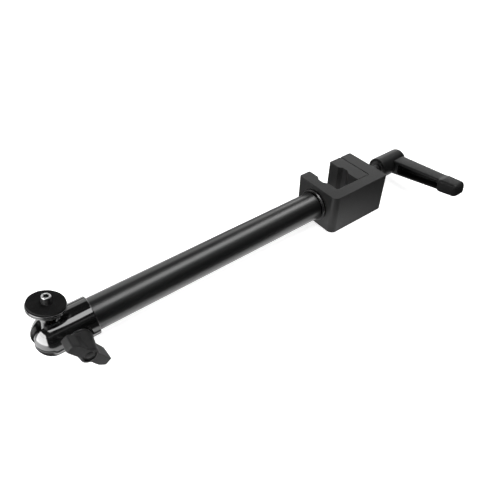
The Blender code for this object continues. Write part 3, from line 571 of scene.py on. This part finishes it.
def table_white():
    """Pale paper that glows evenly for the camera. Polished metal mirrors a brighter glow with dark
    shapes of painted shade in it, seen only in reflections and placed in metres beside the tube's
    axis and past the start of the dome."""
    look = Finish("table_white", Roughness=0.7, Emission_Strength=1.0)
    seen = look.node("ShaderNodeLightPath", output="Is Camera Ray")
    glossy = look.node("ShaderNodeLightPath", output="Is Glossy Ray")
    through = look.node("ShaderNodeLightPath", output="Is Transmission Ray")
    beside = look.coordinate(-OUT_Y)
    past = look.coordinate(ALONG_X, np.array((DOME_X, 0.0, 0.0)))

    # Painted shade in front of the arm, seen only in reflections, up to a border beside the tube
    #     # that stands back at its two ends
    wide = 0.013 * (past.below(0.030, 0.045) + past.between(0.20, 0.24))
    front = (beside + wide).below(-0.046, -0.030) * (past - 0.9 * beside).between(-0.02, 0.02)

    # Painted shade round the head, seen only in reflections: a line on both sides that runs on as
    #     # an arc round the dome, a patch under the head, and a dim ring between the two at the
    #     round end
    beyond = look.maths("MINIMUM", past, 0.0)
    ring = (beyond * beyond + beside * beside) ** 0.5
    round_end = past.below(-0.012, 0.0)
    ring = ring - 0.009 * round_end
    line = ring.between(0.0165, 0.019) * ring.below(0.0225, 0.027) * 0.97
    under = ring.below(0.0095, 0.0135)
    dim = 0.9 * round_end * ring.below(0.015, 0.018) * (1.0 - under)
    head = (line + under + dim) * past.below(0.030, 0.040)

    # Painted shade beside the clamp, on its near and on its far side, seen only in reflections
    right = past.between(0.21, 0.34) * beside.below(-0.03, 0.0)
    behind = beside.between(0.012, 0.040) * past.between(0.15, 0.19)

    # Share of the table that mirrors the full glow, less each patch of painted shade; glossy rays
    # also see the paper's colour go dark there
    lit = (1.0 - front) * (1.0 - head) * (1.0 - 0.88 * right) * (1.0 - 0.85 * behind)
    look.feed(look.shader.inputs["Base Color"], look.blend(glossy * (1.0 - lit), 0.8, 0.02))
    glow = seen * 0.72 + (glossy + through) * lit
    look.feed(look.shader.inputs["Emission Color"], look.blend(glow, 0.0, 1.0))
    return look.material


# Tube and clamp

def make_tube():
    """Drawn tube: one closed ring profile, broken at all four edges."""
    x0, x1 = TUBE_LOW[0], TUBE_HIGH[0]
    corners = [(x0, TUBE_BORE_R, 0.2), (x0, TUBE_R, 0.4), (x1, TUBE_R, 0.4), (x1, TUBE_BORE_R, 0.2)]
    return turned("tube_barrel", corners, 3, 160)


def make_clamp_end_plug():
    """Turned plug: grip inside the tube, a polished rolled rim, and a stud in the clamp."""
    x0, x1, rim_r = PLUG_LOW[0], PLUG_HIGH[0], PLUG_HIGH[1]
    rim_x1 = CLAMP_LOW[0] - ROOM
    grip_r, stud_r = TUBE_BORE_R - ROOM, 4.85
    corners = [(x0, 0, 0), (x0, grip_r, 1.0), (PLUG_RIM_X, grip_r, 0), (PLUG_RIM_X, rim_r, 0.9),
               (rim_x1, rim_r, 0.35), (rim_x1, stud_r, 0), (x1 - 0.8, stud_r, 0),
               (x1, stud_r - 0.8, 0), (x1, 0, 0)]
    return turned("rolled_rim_plug", corners, 6, 128)


def groove(face_x, inward):
    """Corners of the vertical groove in a clamping face, from -Y to +Y."""
    floor_x = face_x + inward * 2.6
    return [(face_x, -1.8, 0.7), (floor_x, 1.8, 0.8), (floor_x, 7.4, 0.8), (face_x, 11.0, 0.7)]


def make_clamp_frame():
    """C frame: its outline in X and Y between two rounded rims, bored for stud and screws."""
    x0, y0, _ = CLAMP_LOW
    x1, lip, half = CLAMP_HIGH
    spine = JAW_LOW[1] - ROOM
    back = JAW_HIGH[0] + 0.6
    bore_r = SCREW_R + ROOM
    corners = [(x0, lip, 1.5), (x0, y0, 5.5), (x1, y0, 1.8), (x1, lip, 1.8), (back, lip, 0.8),
               (back, spine, 0.6), (0, spine, 1.5)] + groove(0, -1) + [(0, lip, 1.5)]
    clamp = make_piece("clamp_frame", slab(softened(corners, 8), half, 0.32), "capped")
    lead_in = [(x1 - 0.7, 0), (x1 - 0.7, bore_r), (x1 + 0.5, bore_r + 1.2), (x1 + 0.5, 0)]
    tools = [bar("stud_bore", 5.15, x0 - PAST, x0 + 7.9, ALONG_X, ORIGIN),
             bar("screw_bore", bore_r, back - PAST, x1 + PAST, ALONG_X, SCREW),
             make_piece("screw_lead_in", spun(lead_in, ALONG_X, SCREW, 64), "pole"),
             bar("grub_bore", GRUB_BORE_R, half - 15.4, half + PAST, DOWN_Z, (x0 + 4.4, 0, 0), 32)]
    change_solid(clamp, tools)
    return clamp


def make_sliding_jaw():
    """Jaw plate with the same groove, bored for the screw's tip and for its set screw."""
    x0, y0, _ = JAW_LOW
    x1, y1, half = JAW_HIGH
    corners = [(x1, y0, 0.5), (x1, y1, 1.5), (x0, y1, 0.8)] + groove(x0, 1)[::-1] + [(x0, y0, 0.6)]
    jaw = make_piece("sliding_jaw", slab(softened(corners, 8), half, 0.3), "capped")
    tools = [bar("tip_bore", SCREW_TIP_R + ROOM, x1 - 8.7, x1 + PAST, ALONG_X, SCREW),
             bar("set_bore", GRUB_BORE_R, -y1 - PAST, -7.6, OUT_Y, (SET_SCREW_X, 0, 0), 32)]
    change_solid(jaw, tools)
    return jaw


def make_clamp_screw():
    """Threaded spindle: turned tip with its groove, then a ridge that climbs one pitch a turn."""
    low, high = span("clamp_screw")
    x0, x1 = low[0], high[0]
    groove_x0, groove_x1, groove_r = SET_SCREW_X - 2.3, SET_SCREW_X + 2.3, 2.2
    shoulder = JAW_HIGH[0] + ROOM
    start, stop = shoulder + 1.0, x1 - 1.0
    rows = [(x0, 0), (x0, SCREW_TIP_R - 0.4), (x0 + 0.4, SCREW_TIP_R), (groove_x0, SCREW_TIP_R),
            (groove_x0, groove_r), (groove_x1, groove_r), (groove_x1, SCREW_TIP_R),
            (shoulder, SCREW_TIP_R), (shoulder, SCREW_R - 0.6), (shoulder + 0.6, SCREW_R)]
    rows += [(x, SCREW_R) for x in np.arange(start, stop, SCREW_PITCH / 10)]
    rows += [(x1 - 0.5, SCREW_R), (x1, SCREW_R - 0.5), (x1, 0)]
    surface = spun(rows, ALONG_X, SCREW, 44, thread(SCREW_PITCH, 0.72, start, stop))
    return make_piece("jaw_spindle", surface, "pole", 60.0)


# Clamping lever

def lever_ring(along, front, back, half, radius):
    """Rounded rectangles across the lever's arm: four quarter circles at each distance along."""
    quarter = np.linspace(0, math.pi / 2, 8)
    corners = []
    for index, (sx, sz) in enumerate(((1, 1), (-1, 1), (-1, -1), (1, -1))):
        turn = quarter + index * math.pi / 2
        centre_x = back - radius if sx > 0 else front + radius
        centre_z = sz * (half - radius)
        corners.append(np.stack([centre_x[:, None] + radius[:, None] * np.cos(turn),
                                 centre_z[:, None] + radius[:, None] * np.sin(turn)], -1))
    flat = np.concatenate(corners, 1)
    away = np.array((0, -math.cos(ARM_LEAN), math.sin(ARM_LEAN)))
    up = np.array((0, math.sin(ARM_LEAN), math.cos(ARM_LEAN)))
    base = np.array((HUB_X, SCREW_Y, 0.0))
    return base + flat[..., :1] * ALONG_X + flat[..., 1:] * up + along[:, None, None] * away


def arm_faces(along):
    """Front and back of the arm past the hub's start, and half its height, at distances from the
    hub's axis: both taper evenly from the hub to the tip."""
    share = along / ARM_L
    front = 12.8 + 7.7 * share
    return front, front + 15.6 - 4.0 * share, (14.8 - 5.4 * share) / 2


def lever_solid():
    """Arm and paddle: taper, a swell of the front and the sides where the paddle starts, and a nose
    that rounds over like the end of an ellipse and is cut off flat."""
    nose = np.radians(np.linspace(0, 60, 12))
    along = np.concatenate([np.linspace(8.2, PADDLE_AT - 2.0, 24),
                            np.linspace(PADDLE_AT - 1.6, NOSE_AT, 20),
                            NOSE_AT + NOSE_L * np.sin(nose[1:])])
    front, back, half = arm_faces(np.minimum(along, NOSE_AT - 0.9))
    swell = smooth_step(PADDLE_AT - 1.4, PADDLE_AT + 0.4, along)
    front = front - 1.6 * swell
    half = half + 0.96 * smooth_step(PADDLE_AT - 3.0, PADDLE_AT + 2.5, along)
    into_nose = np.clip((along - NOSE_AT) / NOSE_L, 0, 1)
    shrink = 0.1 + 0.9 * np.sqrt(1 - into_nose ** 2)
    middle = (front + back) / 2
    front = middle + (front - middle) * shrink
    back = middle + (back - middle) * shrink
    half = half * shrink
    radius = np.minimum(1.5 + 0.6 * swell, 0.9 * half) * (0.4 + 0.6 * shrink)
    return lever_ring(along, front, back, half, radius)


def lever_pocket():
    """Hollow in the arm's clamp side: a tapering trough with rounded corners and floor."""
    corner, wall = 1.8, 2.0
    start, stop = HUB_R + 3.4, PADDLE_AT - 1.5
    end = np.sin(np.radians(np.linspace(0, 90, 7)))
    along = np.concatenate([start + corner * (1 - end[::-1]),
                            np.linspace(start + corner + 0.4, stop - corner - 0.4, 20),
                            stop - corner * (1 - end)])
    front, _, half = arm_faces(along)
    edge = np.clip(corner - np.minimum(along - start, stop - along), 0, corner)
    narrow = corner - np.sqrt(corner ** 2 - edge ** 2)
    half = half - wall - narrow
    radius = np.minimum(1.3, 0.9 * half)
    return lever_ring(along, front - 4, front + 8.5 - 0.5 * narrow, half, radius)


def make_lever():
    """Hub, arm and paddle joined, hollowed, and rounded along every edge. The hub has room for the
    insert's collar and splines and the spring, then a web, and a bore for the screw's head."""
    x0, x1 = HUB_X, HUB_X + HUB_L
    corners = [(x0, HUB_R, 0.8), (x0, 7.9, 0.4), (x0 + 1.4, 7.9, 0), (x0 + 1.4, 7.2, 0),
               (x0 + 2.7, 7.2, 0), (x0 + 2.7, 6.2, 0), (x0 + 6.3, 6.2, 0), (x0 + 6.3, 7.2, 0),
               (x0 + 11.7, 7.2, 0), (x0 + 11.7, 2.8, 0.2), (x0 + 13.7, 2.8, 0.2),
               (x0 + 13.7, 5.6, 0), (x1, 5.6, 0.5), (x1, HUB_R, 3.2)]
    lever = turned("lever_body", corners, 8, 112, at=SCREW)
    change_solid(lever, [make_piece("arm_solid", lever_solid(), "capped")], "UNION", 26.0)
    change_solid(lever, [make_piece("pocket", lever_pocket(), "capped")], crease=26.0)
    round_edges(lever, 0.35)
    return lever


def make_lever_insert():
    """Steel insert: collar, a band of twenty splines as a wave of the radius, and a plain nose."""
    low, high = span("lever_insert")
    x0, x1 = low[0], high[0]
    bore_r, collar_r, root_r, nose_r = 4.3, 7.6, 5.9, 5.5
    teeth0, teeth1 = HUB_X + 2.4, HUB_X + 6.6

    def splines(along, t):
        tooth = np.clip(0.5 + 1.4 * np.cos(20 * t), 0, 1)
        return np.where((along > teeth0) & (along < teeth1), 0.8 * tooth, 0.0)

    corners = [(x0, bore_r, 0.3), (x0, collar_r, 0.4), (x0 + 1.4, collar_r, 0.3),
               (x0 + 1.4, root_r, 0), (teeth0 + 0.05, root_r, 0), (teeth1 - 0.05, root_r, 0),
               (teeth1 + 0.05, nose_r, 0), (x1, nose_r, 0.4), (x1, bore_r, 0.2)]
    return turned("splined_insert", corners, 4, 240, at=SCREW, swell=splines)


def make_lever_screw():
    """Shoulder screw with a hexagonal recess in its head."""
    low, high = span("lever_screw")
    x0, x1 = low[0], high[0]
    head_x, floor_x = x1 - 3.2, x1 - 2.2
    shank_r, head_r, hexagon_r = 2.5, 4.5, 2.0
    rows = softened([(x0, 0, 0), (x0, shank_r, 0.4), (head_x, shank_r, 0), (head_x, head_r, 0.25),
                     (x1, head_r, 0.5), (x1, 2.6, 0)], 5, closed=False)
    recess = np.array([(x1, 2.5), (x1 - 0.25, hexagon_r), (floor_x, hexagon_r), (floor_x - 0.3, 0)])
    rows = np.concatenate([rows, recess])
    surface = spun(rows, ALONG_X, SCREW, 96)
    inner = rows[:, 1] < 2.2
    swell = hexagon(2 * hexagon_r, floor_x - 0.01, x1 - 0.2)
    surface[inner] = spun(rows, ALONG_X, SCREW, 96, swell)[inner]
    return make_piece("lever_shoulder_screw", surface, "pole")


def make_lever_spring():
    """Compression spring: a round wire carried along an even helix of six turns."""
    low, high = span("lever_spring")
    wire, turns, turn_steps = 0.4, 6, 40
    radius = high[1] - SCREW_Y - wire
    share = np.linspace(0, 1, turns * turn_steps + 1)
    x = low[0] + wire + (high[0] - low[0] - 2 * wire) * share
    angle = TURN * turns * share
    out = np.stack([0 * x, np.cos(angle), np.sin(angle)], -1)
    centre = np.stack([x, SCREW_Y + radius * np.cos(angle), radius * np.sin(angle)], -1)
    side = np.cross(unit(np.gradient(centre, axis=0)), out)
    t = np.linspace(0, TURN, 12, endpoint=False)[None, :, None]
    surface = centre[:, None] + wire * (np.cos(t) * out[:, None] + np.sin(t) * side[:, None])
    return make_piece("wire_spring", surface, "capped", 50.0)


# Ball head

def slot_stations(widen):
    """Path round the neck's slot as (tilt, past the limit, half width): a round end towards the
    tube, the straight part over the dome, and a round end on the far side."""
    end_steps = 14
    turn = np.radians(np.linspace(2, 90, end_steps))
    straight = np.linspace(0, 1, 40)[1:-1]
    tilt = np.concatenate([np.full(end_steps, SLOT_NEAR),
                           SLOT_NEAR + (SLOT_FAR - SLOT_NEAR) * straight,
                           np.full(end_steps, SLOT_FAR)])
    zero = 0 * straight
    half = SLOT_HALF + widen
    past = np.concatenate([(half + 0.6) * np.cos(turn), zero, -half * np.cos(turn[::-1])])
    side = np.concatenate([half * np.sin(turn), zero + half, half * np.sin(turn[::-1])])
    return tilt, past, side


def surface_reach(tilt, side):
    """Distance from the ball's centre to the housing's skin along a tilt, so far to one side: the
    barrel is a round of HEAD_R about the tube's axis, and the dome half an ellipsoid on its end."""
    dx, dz = np.sin(tilt), np.cos(tilt)
    with np.errstate(divide="ignore", invalid="ignore"):
        barrel = np.sqrt(HEAD_R ** 2 - side ** 2) / np.abs(dz)
    offset = BALL_X - DOME_X
    a = (dx / DOME_L) ** 2 + (dz / HEAD_R) ** 2
    b = 2 * dx * offset / DOME_L ** 2
    c = (offset / DOME_L) ** 2 + (side / HEAD_R) ** 2 - 1
    dome = (-b + np.sqrt(b * b - 4 * a * c)) / (2 * a)
    return np.where(BALL_X + dome * dx < DOME_X, dome, barrel)


def slot_cutter(edge):
    """Room for the neck. Its walls are flat to just below the skin, then curl outwards by
    edge (1 - cos t), which leaves a rounded lip along the whole slot."""
    tilt, _, side = slot_stations(0.0)
    skin = surface_reach(tilt, side)
    levels = [(np.full_like(skin, 2.0), 0.0), (np.full_like(skin, 6.5), 0.0)]
    for t in np.radians((0, 18, 36, 54, 72, 88)):
        levels.append((skin - edge + edge * np.sin(t), edge * (1 - np.cos(t))))
    levels.append((skin + 4.0, levels[-1][1] + 0.4))
    along = np.stack([np.sin(tilt), 0 * tilt, np.cos(tilt)], -1)
    across = np.stack([np.cos(tilt), 0 * tilt, -np.sin(tilt)], -1)
    lefts, rights = [], []
    for reach, widen in levels:
        _, past, side = slot_stations(widen)
        middle = BALL + along * reach[:, None] + across * past[:, None]
        lefts.append(middle + side[:, None] * OUT_Y)
        rights.append(middle - side[:, None] * OUT_Y)
    return make_piece("slot_room", np.stack(lefts + rights[::-1], 1), "capped")


def make_head_housing():
    """Barrel and dome in one turning, with the ball's seat and the tube's socket, then the neck's
    slot, the knob's flat spot, and the bores of the lock screw and the grub screw."""
    rim_x = HEAD_HIGH[0]
    socket_x, socket_r = TUBE_LOW[0] - ROOM, TUBE_R + ROOM
    seat = np.radians(np.linspace(180, 90, 24))
    inner = np.stack([BALL_X + SEAT_R * np.cos(seat), SEAT_R * np.sin(seat)], -1)
    walls = softened([(BALL_X + 1, SEAT_R, 0), (socket_x, SEAT_R, 0), (socket_x, socket_r, 0),
                      (rim_x, socket_r, 0.45), (rim_x, HEAD_R, 0.55), (DOME_X, HEAD_R, 0)],
                     5, closed=False)
    dome = np.radians(np.linspace(90, 180, 40))
    outer = np.stack([DOME_X + DOME_L * np.cos(dome), HEAD_R * np.sin(dome)], -1)
    profile = np.concatenate([inner, walls, outer[1:]])
    profile[[0, -1], 1] = 0
    housing = make_piece("ball_barrel", spun(profile, ALONG_X, ORIGIN, 144), "pole")
    spot_r, floor = 9.9, 4.8
    spot = [(HEAD_R + 4, 0, 0), (HEAD_R + 4, spot_r, 0), (KNOB_SPOT, spot_r, 0.3),
            (KNOB_SPOT, LOCK_BORE_R, 0.2), (floor, LOCK_BORE_R, 0), (floor, 0, 0)]
    grub_place = (rim_x - 4.0, 0, 0)
    tools = [slot_cutter(0.55), turned("knob_spot", spot, 4, 96, OUT_Y, KNOB),
             bar("head_grub_bore", GRUB_BORE_R, TUBE_R - 1, HEAD_R + 5, DOWN_Z, grub_place, 32)]
    change_solid(housing, tools, crease=30.0)
    return housing


def make_ball():
    """Ball with a flat and a bore for the neck."""
    turn = np.radians(np.linspace(180, math.degrees(math.acos(BALL_FLAT / BALL_R)), 48))
    rows = np.stack([BALL_R * np.cos(turn), BALL_R * np.sin(turn)], -1)
    rows[0, 1] = 0
    rows = np.concatenate([rows, [(BALL_FLAT, 2.3), (-1.8, 2.3), (-1.8, 0)]])
    return make_piece("polished_ball", spun(rows, STEM, BALL, 96), "pole")


def make_neck():
    """Neck that widens from the ball to the plate along a smooth curve, with a pin at each end."""
    foot = BALL_FLAT + ROOM
    pin_r, spigot_r, spigot_top = 2.0, 3.0, NECK_TOP + 2.3
    s = np.linspace(0, 1, 30)
    curve = np.interp(s, [0, 0.15, 0.40, 0.65, 0.88, 1.0], [3.1, 3.1, 3.45, 3.98, 4.7, 4.7])
    for _ in range(6):
        curve[1:-1] = np.convolve(curve, (0.25, 0.5, 0.25), "valid")
    rows = [(-1.5, 0), (-1.5, pin_r - 0.2), (-1.3, pin_r), (foot, pin_r), (foot, 2.9)]
    rows += list(zip(foot + 0.2 + (NECK_TOP - foot - 0.4) * s, curve))
    rows += [(NECK_TOP, 4.5), (NECK_TOP, spigot_r), (spigot_top, spigot_r), (spigot_top, 0)]
    return make_piece("flared_neck", spun(rows, STEM, BALL, 96), "pole")


def make_plate():
    """Round plate: coned underside, polished rim with a fine turned groove, bored for the stud."""
    top, rim = PLATE_HIGH, 12.95
    groove_r = rim - 0.35
    corners = [(PLATE_LOW, STUD_BORE_R, 0), (PLATE_LOW, 5.9, 0.4), (top - 3.7, 9.95, 0.5),
               (top - 3.2, 12.2, 0.3), (top - 2.7, rim, 0.35), (top - 1.55, rim, 0.1),
               (top - 1.40, groove_r, 0.05), (top - 0.95, groove_r, 0.05), (top - 0.80, rim, 0.1),
               (top, rim, 0.55), (top, STUD_BORE_R, 0)]
    return turned("stud_plate", corners, 5, 128, STEM, BALL)


def make_pad():
    """Rubber disc, rounded at its rim and a little hollow towards the stud."""
    top, rim, hollow = PAD_HIGH, 12.45, PAD_HIGH - 0.25
    corners = [(PAD_LOW, STUD_BORE_R, 0.1), (PAD_LOW, rim, 0.2), (top, rim, 0.5), (top, 5.0, 0),
               (hollow, 4.2, 0.1), (hollow, STUD_BORE_R, 0.1)]
    return turned("ribbed_pad", corners, 5, 128, STEM, BALL)


def make_stud():
    """Camera stud: a ridge that climbs one pitch a turn, a broken tip and a hexagonal recess."""
    top = STUD_HIGH
    start, stop = 29.0, top - 1.0
    hexagon_r = 1.75
    rows = [(STUD_LOW, 0), (STUD_LOW, 2.9), (STUD_LOW + 0.3, STUD_R)]
    rows += [(x, STUD_R) for x in np.arange(start, stop, STUD_PITCH / 10)]
    rows += [(top - 0.75, STUD_R), (top - 0.35, 3.0), (top - 0.08, 2.75), (top, 2.5), (top, 2.1),
             (top - 0.02, 2.1), (top - 0.2, hexagon_r), (top - 1.3, hexagon_r), (top - 1.4, 0)]
    surface = spun(rows, STEM, BALL, 72, thread(STUD_PITCH, 0.62, start, stop))
    recess = spun(rows, STEM, BALL, 72, hexagon(2 * hexagon_r, top - 1.31, top - 0.19))
    surface[-4:-1] = recess[-4:-1]
    return make_piece("threaded_stud", surface, "pole", 50.0)


# Knob

def wing_flank(reach, half_width, tip=3.0):
    """Direction and distance of a flank that narrows from the knob's middle to a wing's tip."""
    side = unit(np.array((half_width - tip, reach - 2.0)))
    return math.atan2(side[1], side[0]), reach * side[0] + tip * side[1]


def wing_radius(angle, reach, half_width, hub_r):
    """Distance to the wings' outline: the power mean of its sides' distances, joined to the hub's
    circle. Each wing has a full flank on one side and a slim one on the other."""
    side_power, hub_power = 30, 14
    lean, off = wing_flank(reach, half_width)
    slim_lean, slim_off = wing_flank(reach, 3.9)
    total = 0.0
    for turn, distance in ((0.0, reach), (math.pi, reach), (math.pi - lean, off), (-lean, off),
                           (slim_lean, slim_off), (math.pi + slim_lean, slim_off)):
        total = total + np.maximum(np.cos(angle - turn) / distance, 0.0) ** side_power
    wing = total ** (-1 / side_power)
    return (wing ** hub_power + hub_r ** hub_power) ** (1 / hub_power)


def make_knob():
    """Wing knob: rings that go from a round hub to the wing outline, with broken rims, a round
    recess for its cap and a socket for the screw."""
    depth = np.array([0, 0.25, 0.6, 1.4, 2.0, 2.6, 3.2, 3.8, 4.4, 5.0, 5.5, 6.0, 6.5, 7.2, 9.0,
                      12.0, 15.0, 15.7, 16.2, 16.6, 16.85, 17.0, 17.0])
    grow = smooth_step(1.7, 6.0, depth)
    reach = 6.0 + 12.0 * grow + 0.6 * smooth_step(5.6, 15.6, depth)
    width = 4.0 + 4.0 * grow
    hub = np.interp(depth, [0, 2.0, 5.6, 15.8, 17.0], [8.5, 8.6, 7.8, 6.4, 6.4])
    rim = np.interp(depth, [0, 0.25, 0.6, 15.7, 16.2, 16.6, 16.85, 17.0],
                    [0.55, 0.2, 0, 0, 0.08, 0.25, 0.45, 0.8])
    rim[-1] = 1.0
    lean = math.radians(57)
    t = np.linspace(0, TURN, 192, endpoint=False)
    t = t - 0.38 * np.sin(2 * t)
    rings = []
    for d, r, w, h, e in zip(depth, reach, width, hub, rim):
        radius = wing_radius(t, r, w, h) - e
        rings.append(np.stack([KNOB_X + radius * np.cos(t - lean), 0 * t - (KNOB_BASE + d),
                               radius * np.sin(t - lean)], -1))
    knob = make_piece("wing_grip", np.array(rings), "capped", 40.0)
    floor, recess_r = KNOB_TIP - 1.8, 4.6
    recess = [(KNOB_TIP + 1, 0, 0), (KNOB_TIP + 1, 4.9, 0), (KNOB_TIP - 0.2, recess_r, 0),
              (floor, recess_r, 0.3), (floor, 0, 0)]
    core = bar("core", LOCK_BORE_R, KNOB_BASE - 1, KNOB_TIP - 3.1, OUT_Y, KNOB)
    cap_room = turned("recess", recess, 4, 96, OUT_Y, KNOB)
    change_solid(knob, [cap_room, core], crease=40.0)
    return knob


def make_cap():
    """Cap: a shallow dome with a raised ring round a plain field."""
    low = KNOB_TIP - 1.5
    corners = [(low, 0, 0), (low, 4.3, 0.1), (low + 0.75, 4.3, 0.35), (low + 0.85, 3.6, 0.1),
               (low + 0.6, 3.35, 0.1), (low + 0.65, 2.6, 0.1), (low + 0.9, 2.3, 0.1),
               (low + 1.3, 0, 0)]
    return turned("cap_disc", corners, 4, 96, OUT_Y, KNOB)


def make_knob_washer():
    """Pressed washer with rounded rims."""
    low, high, rim = -WASHER_HIGH[1], -WASHER_LOW[1], 8.2
    corners = [(low, LOCK_BORE_R, 0.2), (low, rim, 0.3), (high, rim, 0.3), (high, LOCK_BORE_R, 0.2)]
    return turned("pressed_washer", corners, 4, 128, OUT_Y, KNOB)


def make_lock_screw():
    """Lock screw: plain end in the knob, a thread, and a 60 degree cone."""
    outer = KNOB_TIP - 3.4
    start, stop = 2.4, outer - 1.0
    rows = [(-2.5, 0), (-2.5, 0.5), (1.83, LOCK_R)]
    rows += [(x, LOCK_R) for x in np.arange(start, stop, LOCK_PITCH / 10)]
    rows += [(outer - 0.5, LOCK_R), (outer, LOCK_R - 0.5), (outer, 0)]
    surface = spun(rows, OUT_Y, KNOB, 40, thread(LOCK_PITCH, 0.55, start, stop))
    return make_piece("cone_screw", surface, "pole", 60.0)


def paint_carried(node, look):
    """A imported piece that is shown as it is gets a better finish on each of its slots."""
    mesh = frame["nodes"][node].data
    if not mesh.materials:
        mesh.materials.append(look)
    for index in range(len(mesh.materials)):
        mesh.materials[index] = look


# Make everything

gloss = gloss_black()
matte = matte_black()
moulded = moulded_black("moulded_black", 0.012, 0.50, 0.16)
cap_black = moulded_black("moulded_black_cap", 0.007, 0.44, 0.2)
powder = moulded_black("moulded_black_coat", 0.007, 0.36, 0.2)
jaw_steel = dark_steel("dark_steel", ALONG_X, SCREW)
lock_steel = dark_steel("dark_steel_lock", OUT_Y, KNOB)
set_steel = dark_steel("dark_steel_set", DOWN_Z, ORIGIN, rough=0.34)
plain_aluminium = turned_metal("aluminium", ALONG_X, ORIGIN, 0.42, 0.62, 0.2)
stud_steel = turned_metal("steel", STEM, BALL, 0.28, 0.55, 0.3, painted_shade_below=STUD_HIGH - 0.7)
washer_steel = dark_steel("dark_steel_washer", OUT_Y, KNOB, 0.10, 0.34)
spring_steel = turned_metal("steel_spring", ALONG_X, SCREW, 0.40, 0.60, 0.25)

dressed = {}
for make, look, body, node, slot in (
    (make_tube, satin_black(), "arm", "arm_tube", "satin_black"),
    (make_clamp_end_plug, rolled_rim_metal(PLUG_RIM_X, PLUG_HIGH[1]), "arm",
     "clamp_end_plug", "aluminium"),
    (make_clamp_frame, matte, "arm", "clamp_body", "matte_black"),
    (make_sliding_jaw, matte, "jaw", "moving_jaw", "matte_black"),
    (make_clamp_screw, jaw_steel, "screw", "clamp_screw", "dark_steel"),
    (make_lever, powder, "lever", "lever_handle", "moulded_black"),
    (make_lever_insert, jaw_steel, "screw", "lever_insert", "dark_steel"),
    (make_lever_screw, jaw_steel, "screw", "lever_screw", "dark_steel"),
    (make_lever_spring, spring_steel, "screw", "lever_spring", "steel"),
    (make_head_housing, gloss, "arm", "head_housing", "gloss_black"),
    (make_ball, gloss, "tilting_ball", "ball", "gloss_steel"),
    (make_neck, gloss, "platform", "ball_neck", "gloss_steel"),
    (make_plate, gloss, "platform", "platform_plate", "gloss_black"),
    (make_pad, rubber_black(STEM, BALL), "platform", "platform_pad", "rubber_black"),
    (make_stud, stud_steel, "platform", "camera_stud", "steel"),
    (make_knob, moulded, "knob", "wing_knob", "moulded_black"),
    (make_cap, cap_black, "knob", "knob_cap", "moulded_black"),
    (make_knob_washer, washer_steel, "washer", "knob_washer", "dark_steel"),
    (make_lock_screw, lock_steel, "knob", "lock_screw", "dark_steel"),
):
    dressed[node] = dress(make(), look, body, node)
spring = dressed["lever_spring"]
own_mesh(spring)

paint_carried("head_end_plug", plain_aluminium)
for node in ("clamp_grub_screw", "head_grub_screw", "jaw_set_screw"):
    paint_carried(node, set_steel)
paint_carried("thrust_washer", bronze(SCREW))
paint_carried("brake_piston", bronze(ORIGIN))


# Table, lamps and camera

def make_table():
    """Pale table: a flat disc that sweeps up into a low wall far away, height = (r - r0)^2 / k."""
    floor_z = CLAMP_LOW[2] - 0.2
    middle_x, flat_r, sweep = -80, 2400, 1800
    r = np.concatenate([[0.0], np.linspace(300, flat_r, 15), np.linspace(2500, 4200, 24)])[:, None]
    t = np.linspace(0, TURN, 96, endpoint=False)
    height = floor_z + np.clip(r - flat_r, 0, None) ** 2 / sweep + 0 * t
    points = np.stack([middle_x + r * np.cos(t), r * np.sin(t), height], -1)
    table = make_piece("table", points, "pole")
    table.data.materials.append(table_white())
    if sum(face.normal.z * face.area for face in table.data.polygons) < 0:
        table.data.flip_normals()


def make_lamp(name, place, aim, size, radiance, run=(1, 0, 0), shine=True):
    """Soft box: a rectangle lamp that faces a point, its first side along run. Its power is
    radiance x pi x area. Without shine no polished metal mirrors it."""
    data = bpy.data.lights.new(name, "AREA")
    data.shape = "RECTANGLE"
    data.size, data.size_y = size
    data.energy = radiance * math.pi * size[0] * size[1]
    lamp = bpy.data.objects.new(name, data)
    back = (Vector(place) - Vector(aim)).normalized()
    side = (Vector(run) - back * Vector(run).dot(back)).normalized()
    lamp.matrix_world = Matrix((side, back.cross(side), back)).transposed().to_4x4()
    lamp.location = place
    lamp.visible_glossy = shine
    lamp.visible_camera = False
    bpy.context.collection.objects.link(lamp)


def make_camera():
    """The photograph's camera: place, lens and three turns worked out from the clamp's edges."""
    yaw, pitch, roll = math.radians(52.973), math.radians(42.906), math.radians(0.135)
    forward = Vector((math.cos(yaw) * math.cos(pitch), math.sin(yaw) * math.cos(pitch),
                      -math.sin(pitch)))
    right = Vector((math.sin(yaw), -math.cos(yaw), 0))
    up = right.cross(forward)
    rolled_right = right * math.cos(roll) + up * math.sin(roll)
    rolled_up = up * math.cos(roll) - right * math.sin(roll)
    data = bpy.data.cameras.new("photo_camera")
    data.sensor_width = 36.0
    data.lens = 35.12
    data.clip_start = 0.01
    data.clip_end = 50.0
    camera = bpy.data.objects.new("photo_camera", data)
    camera.matrix_world = Matrix((rolled_right, rolled_up, -forward)).transposed().to_4x4()
    camera.location = (-0.269613, -0.244793, 0.269256)
    bpy.context.collection.objects.link(camera)
    bpy.context.scene.camera = camera


make_table()
make_lamp("soft_box_above", (0.31, -0.11, 1.0), (0.31, -0.11, 0.0), (1.40, 0.42), 5.6,
          run=(0.835, 0.55, 0))
make_lamp("soft_box_back", (-0.1, 1.05, 0.55), (-0.1, 0, 0), (1.8, 0.72), 1.4)
make_lamp("soft_box_left", (-0.375, -0.040, 0.068), (-0.262, -0.010, 0.091), (0.135, 0.172), 10.0,
          run=(0.25, -0.97, 0))
make_lamp("soft_box_right", (1.20, 0.95, 0.42), (0.02, 0, 0), (0.9, 0.62), 2.8,
          run=(0.62, -0.78, 0))
make_lamp("strip_front", (-0.13, -0.92, 0.78), (-0.2, 0, 0), (1.4, 0.10), 0.5)
make_lamp("fill", (-0.9, -1.1, 0.35), (-0.1, 0, 0), (1.2, 0.7), 0.9, shine=False)
make_camera()

world = bpy.data.worlds.new("plain_studio")
bpy.context.scene.world = world
world.use_nodes = True
world.node_tree.nodes["Background"].inputs[0].default_value = (1, 1, 1, 1)
world.node_tree.nodes["Background"].inputs[1].default_value = 0.06
bpy.context.scene.view_settings.view_transform = "Standard"
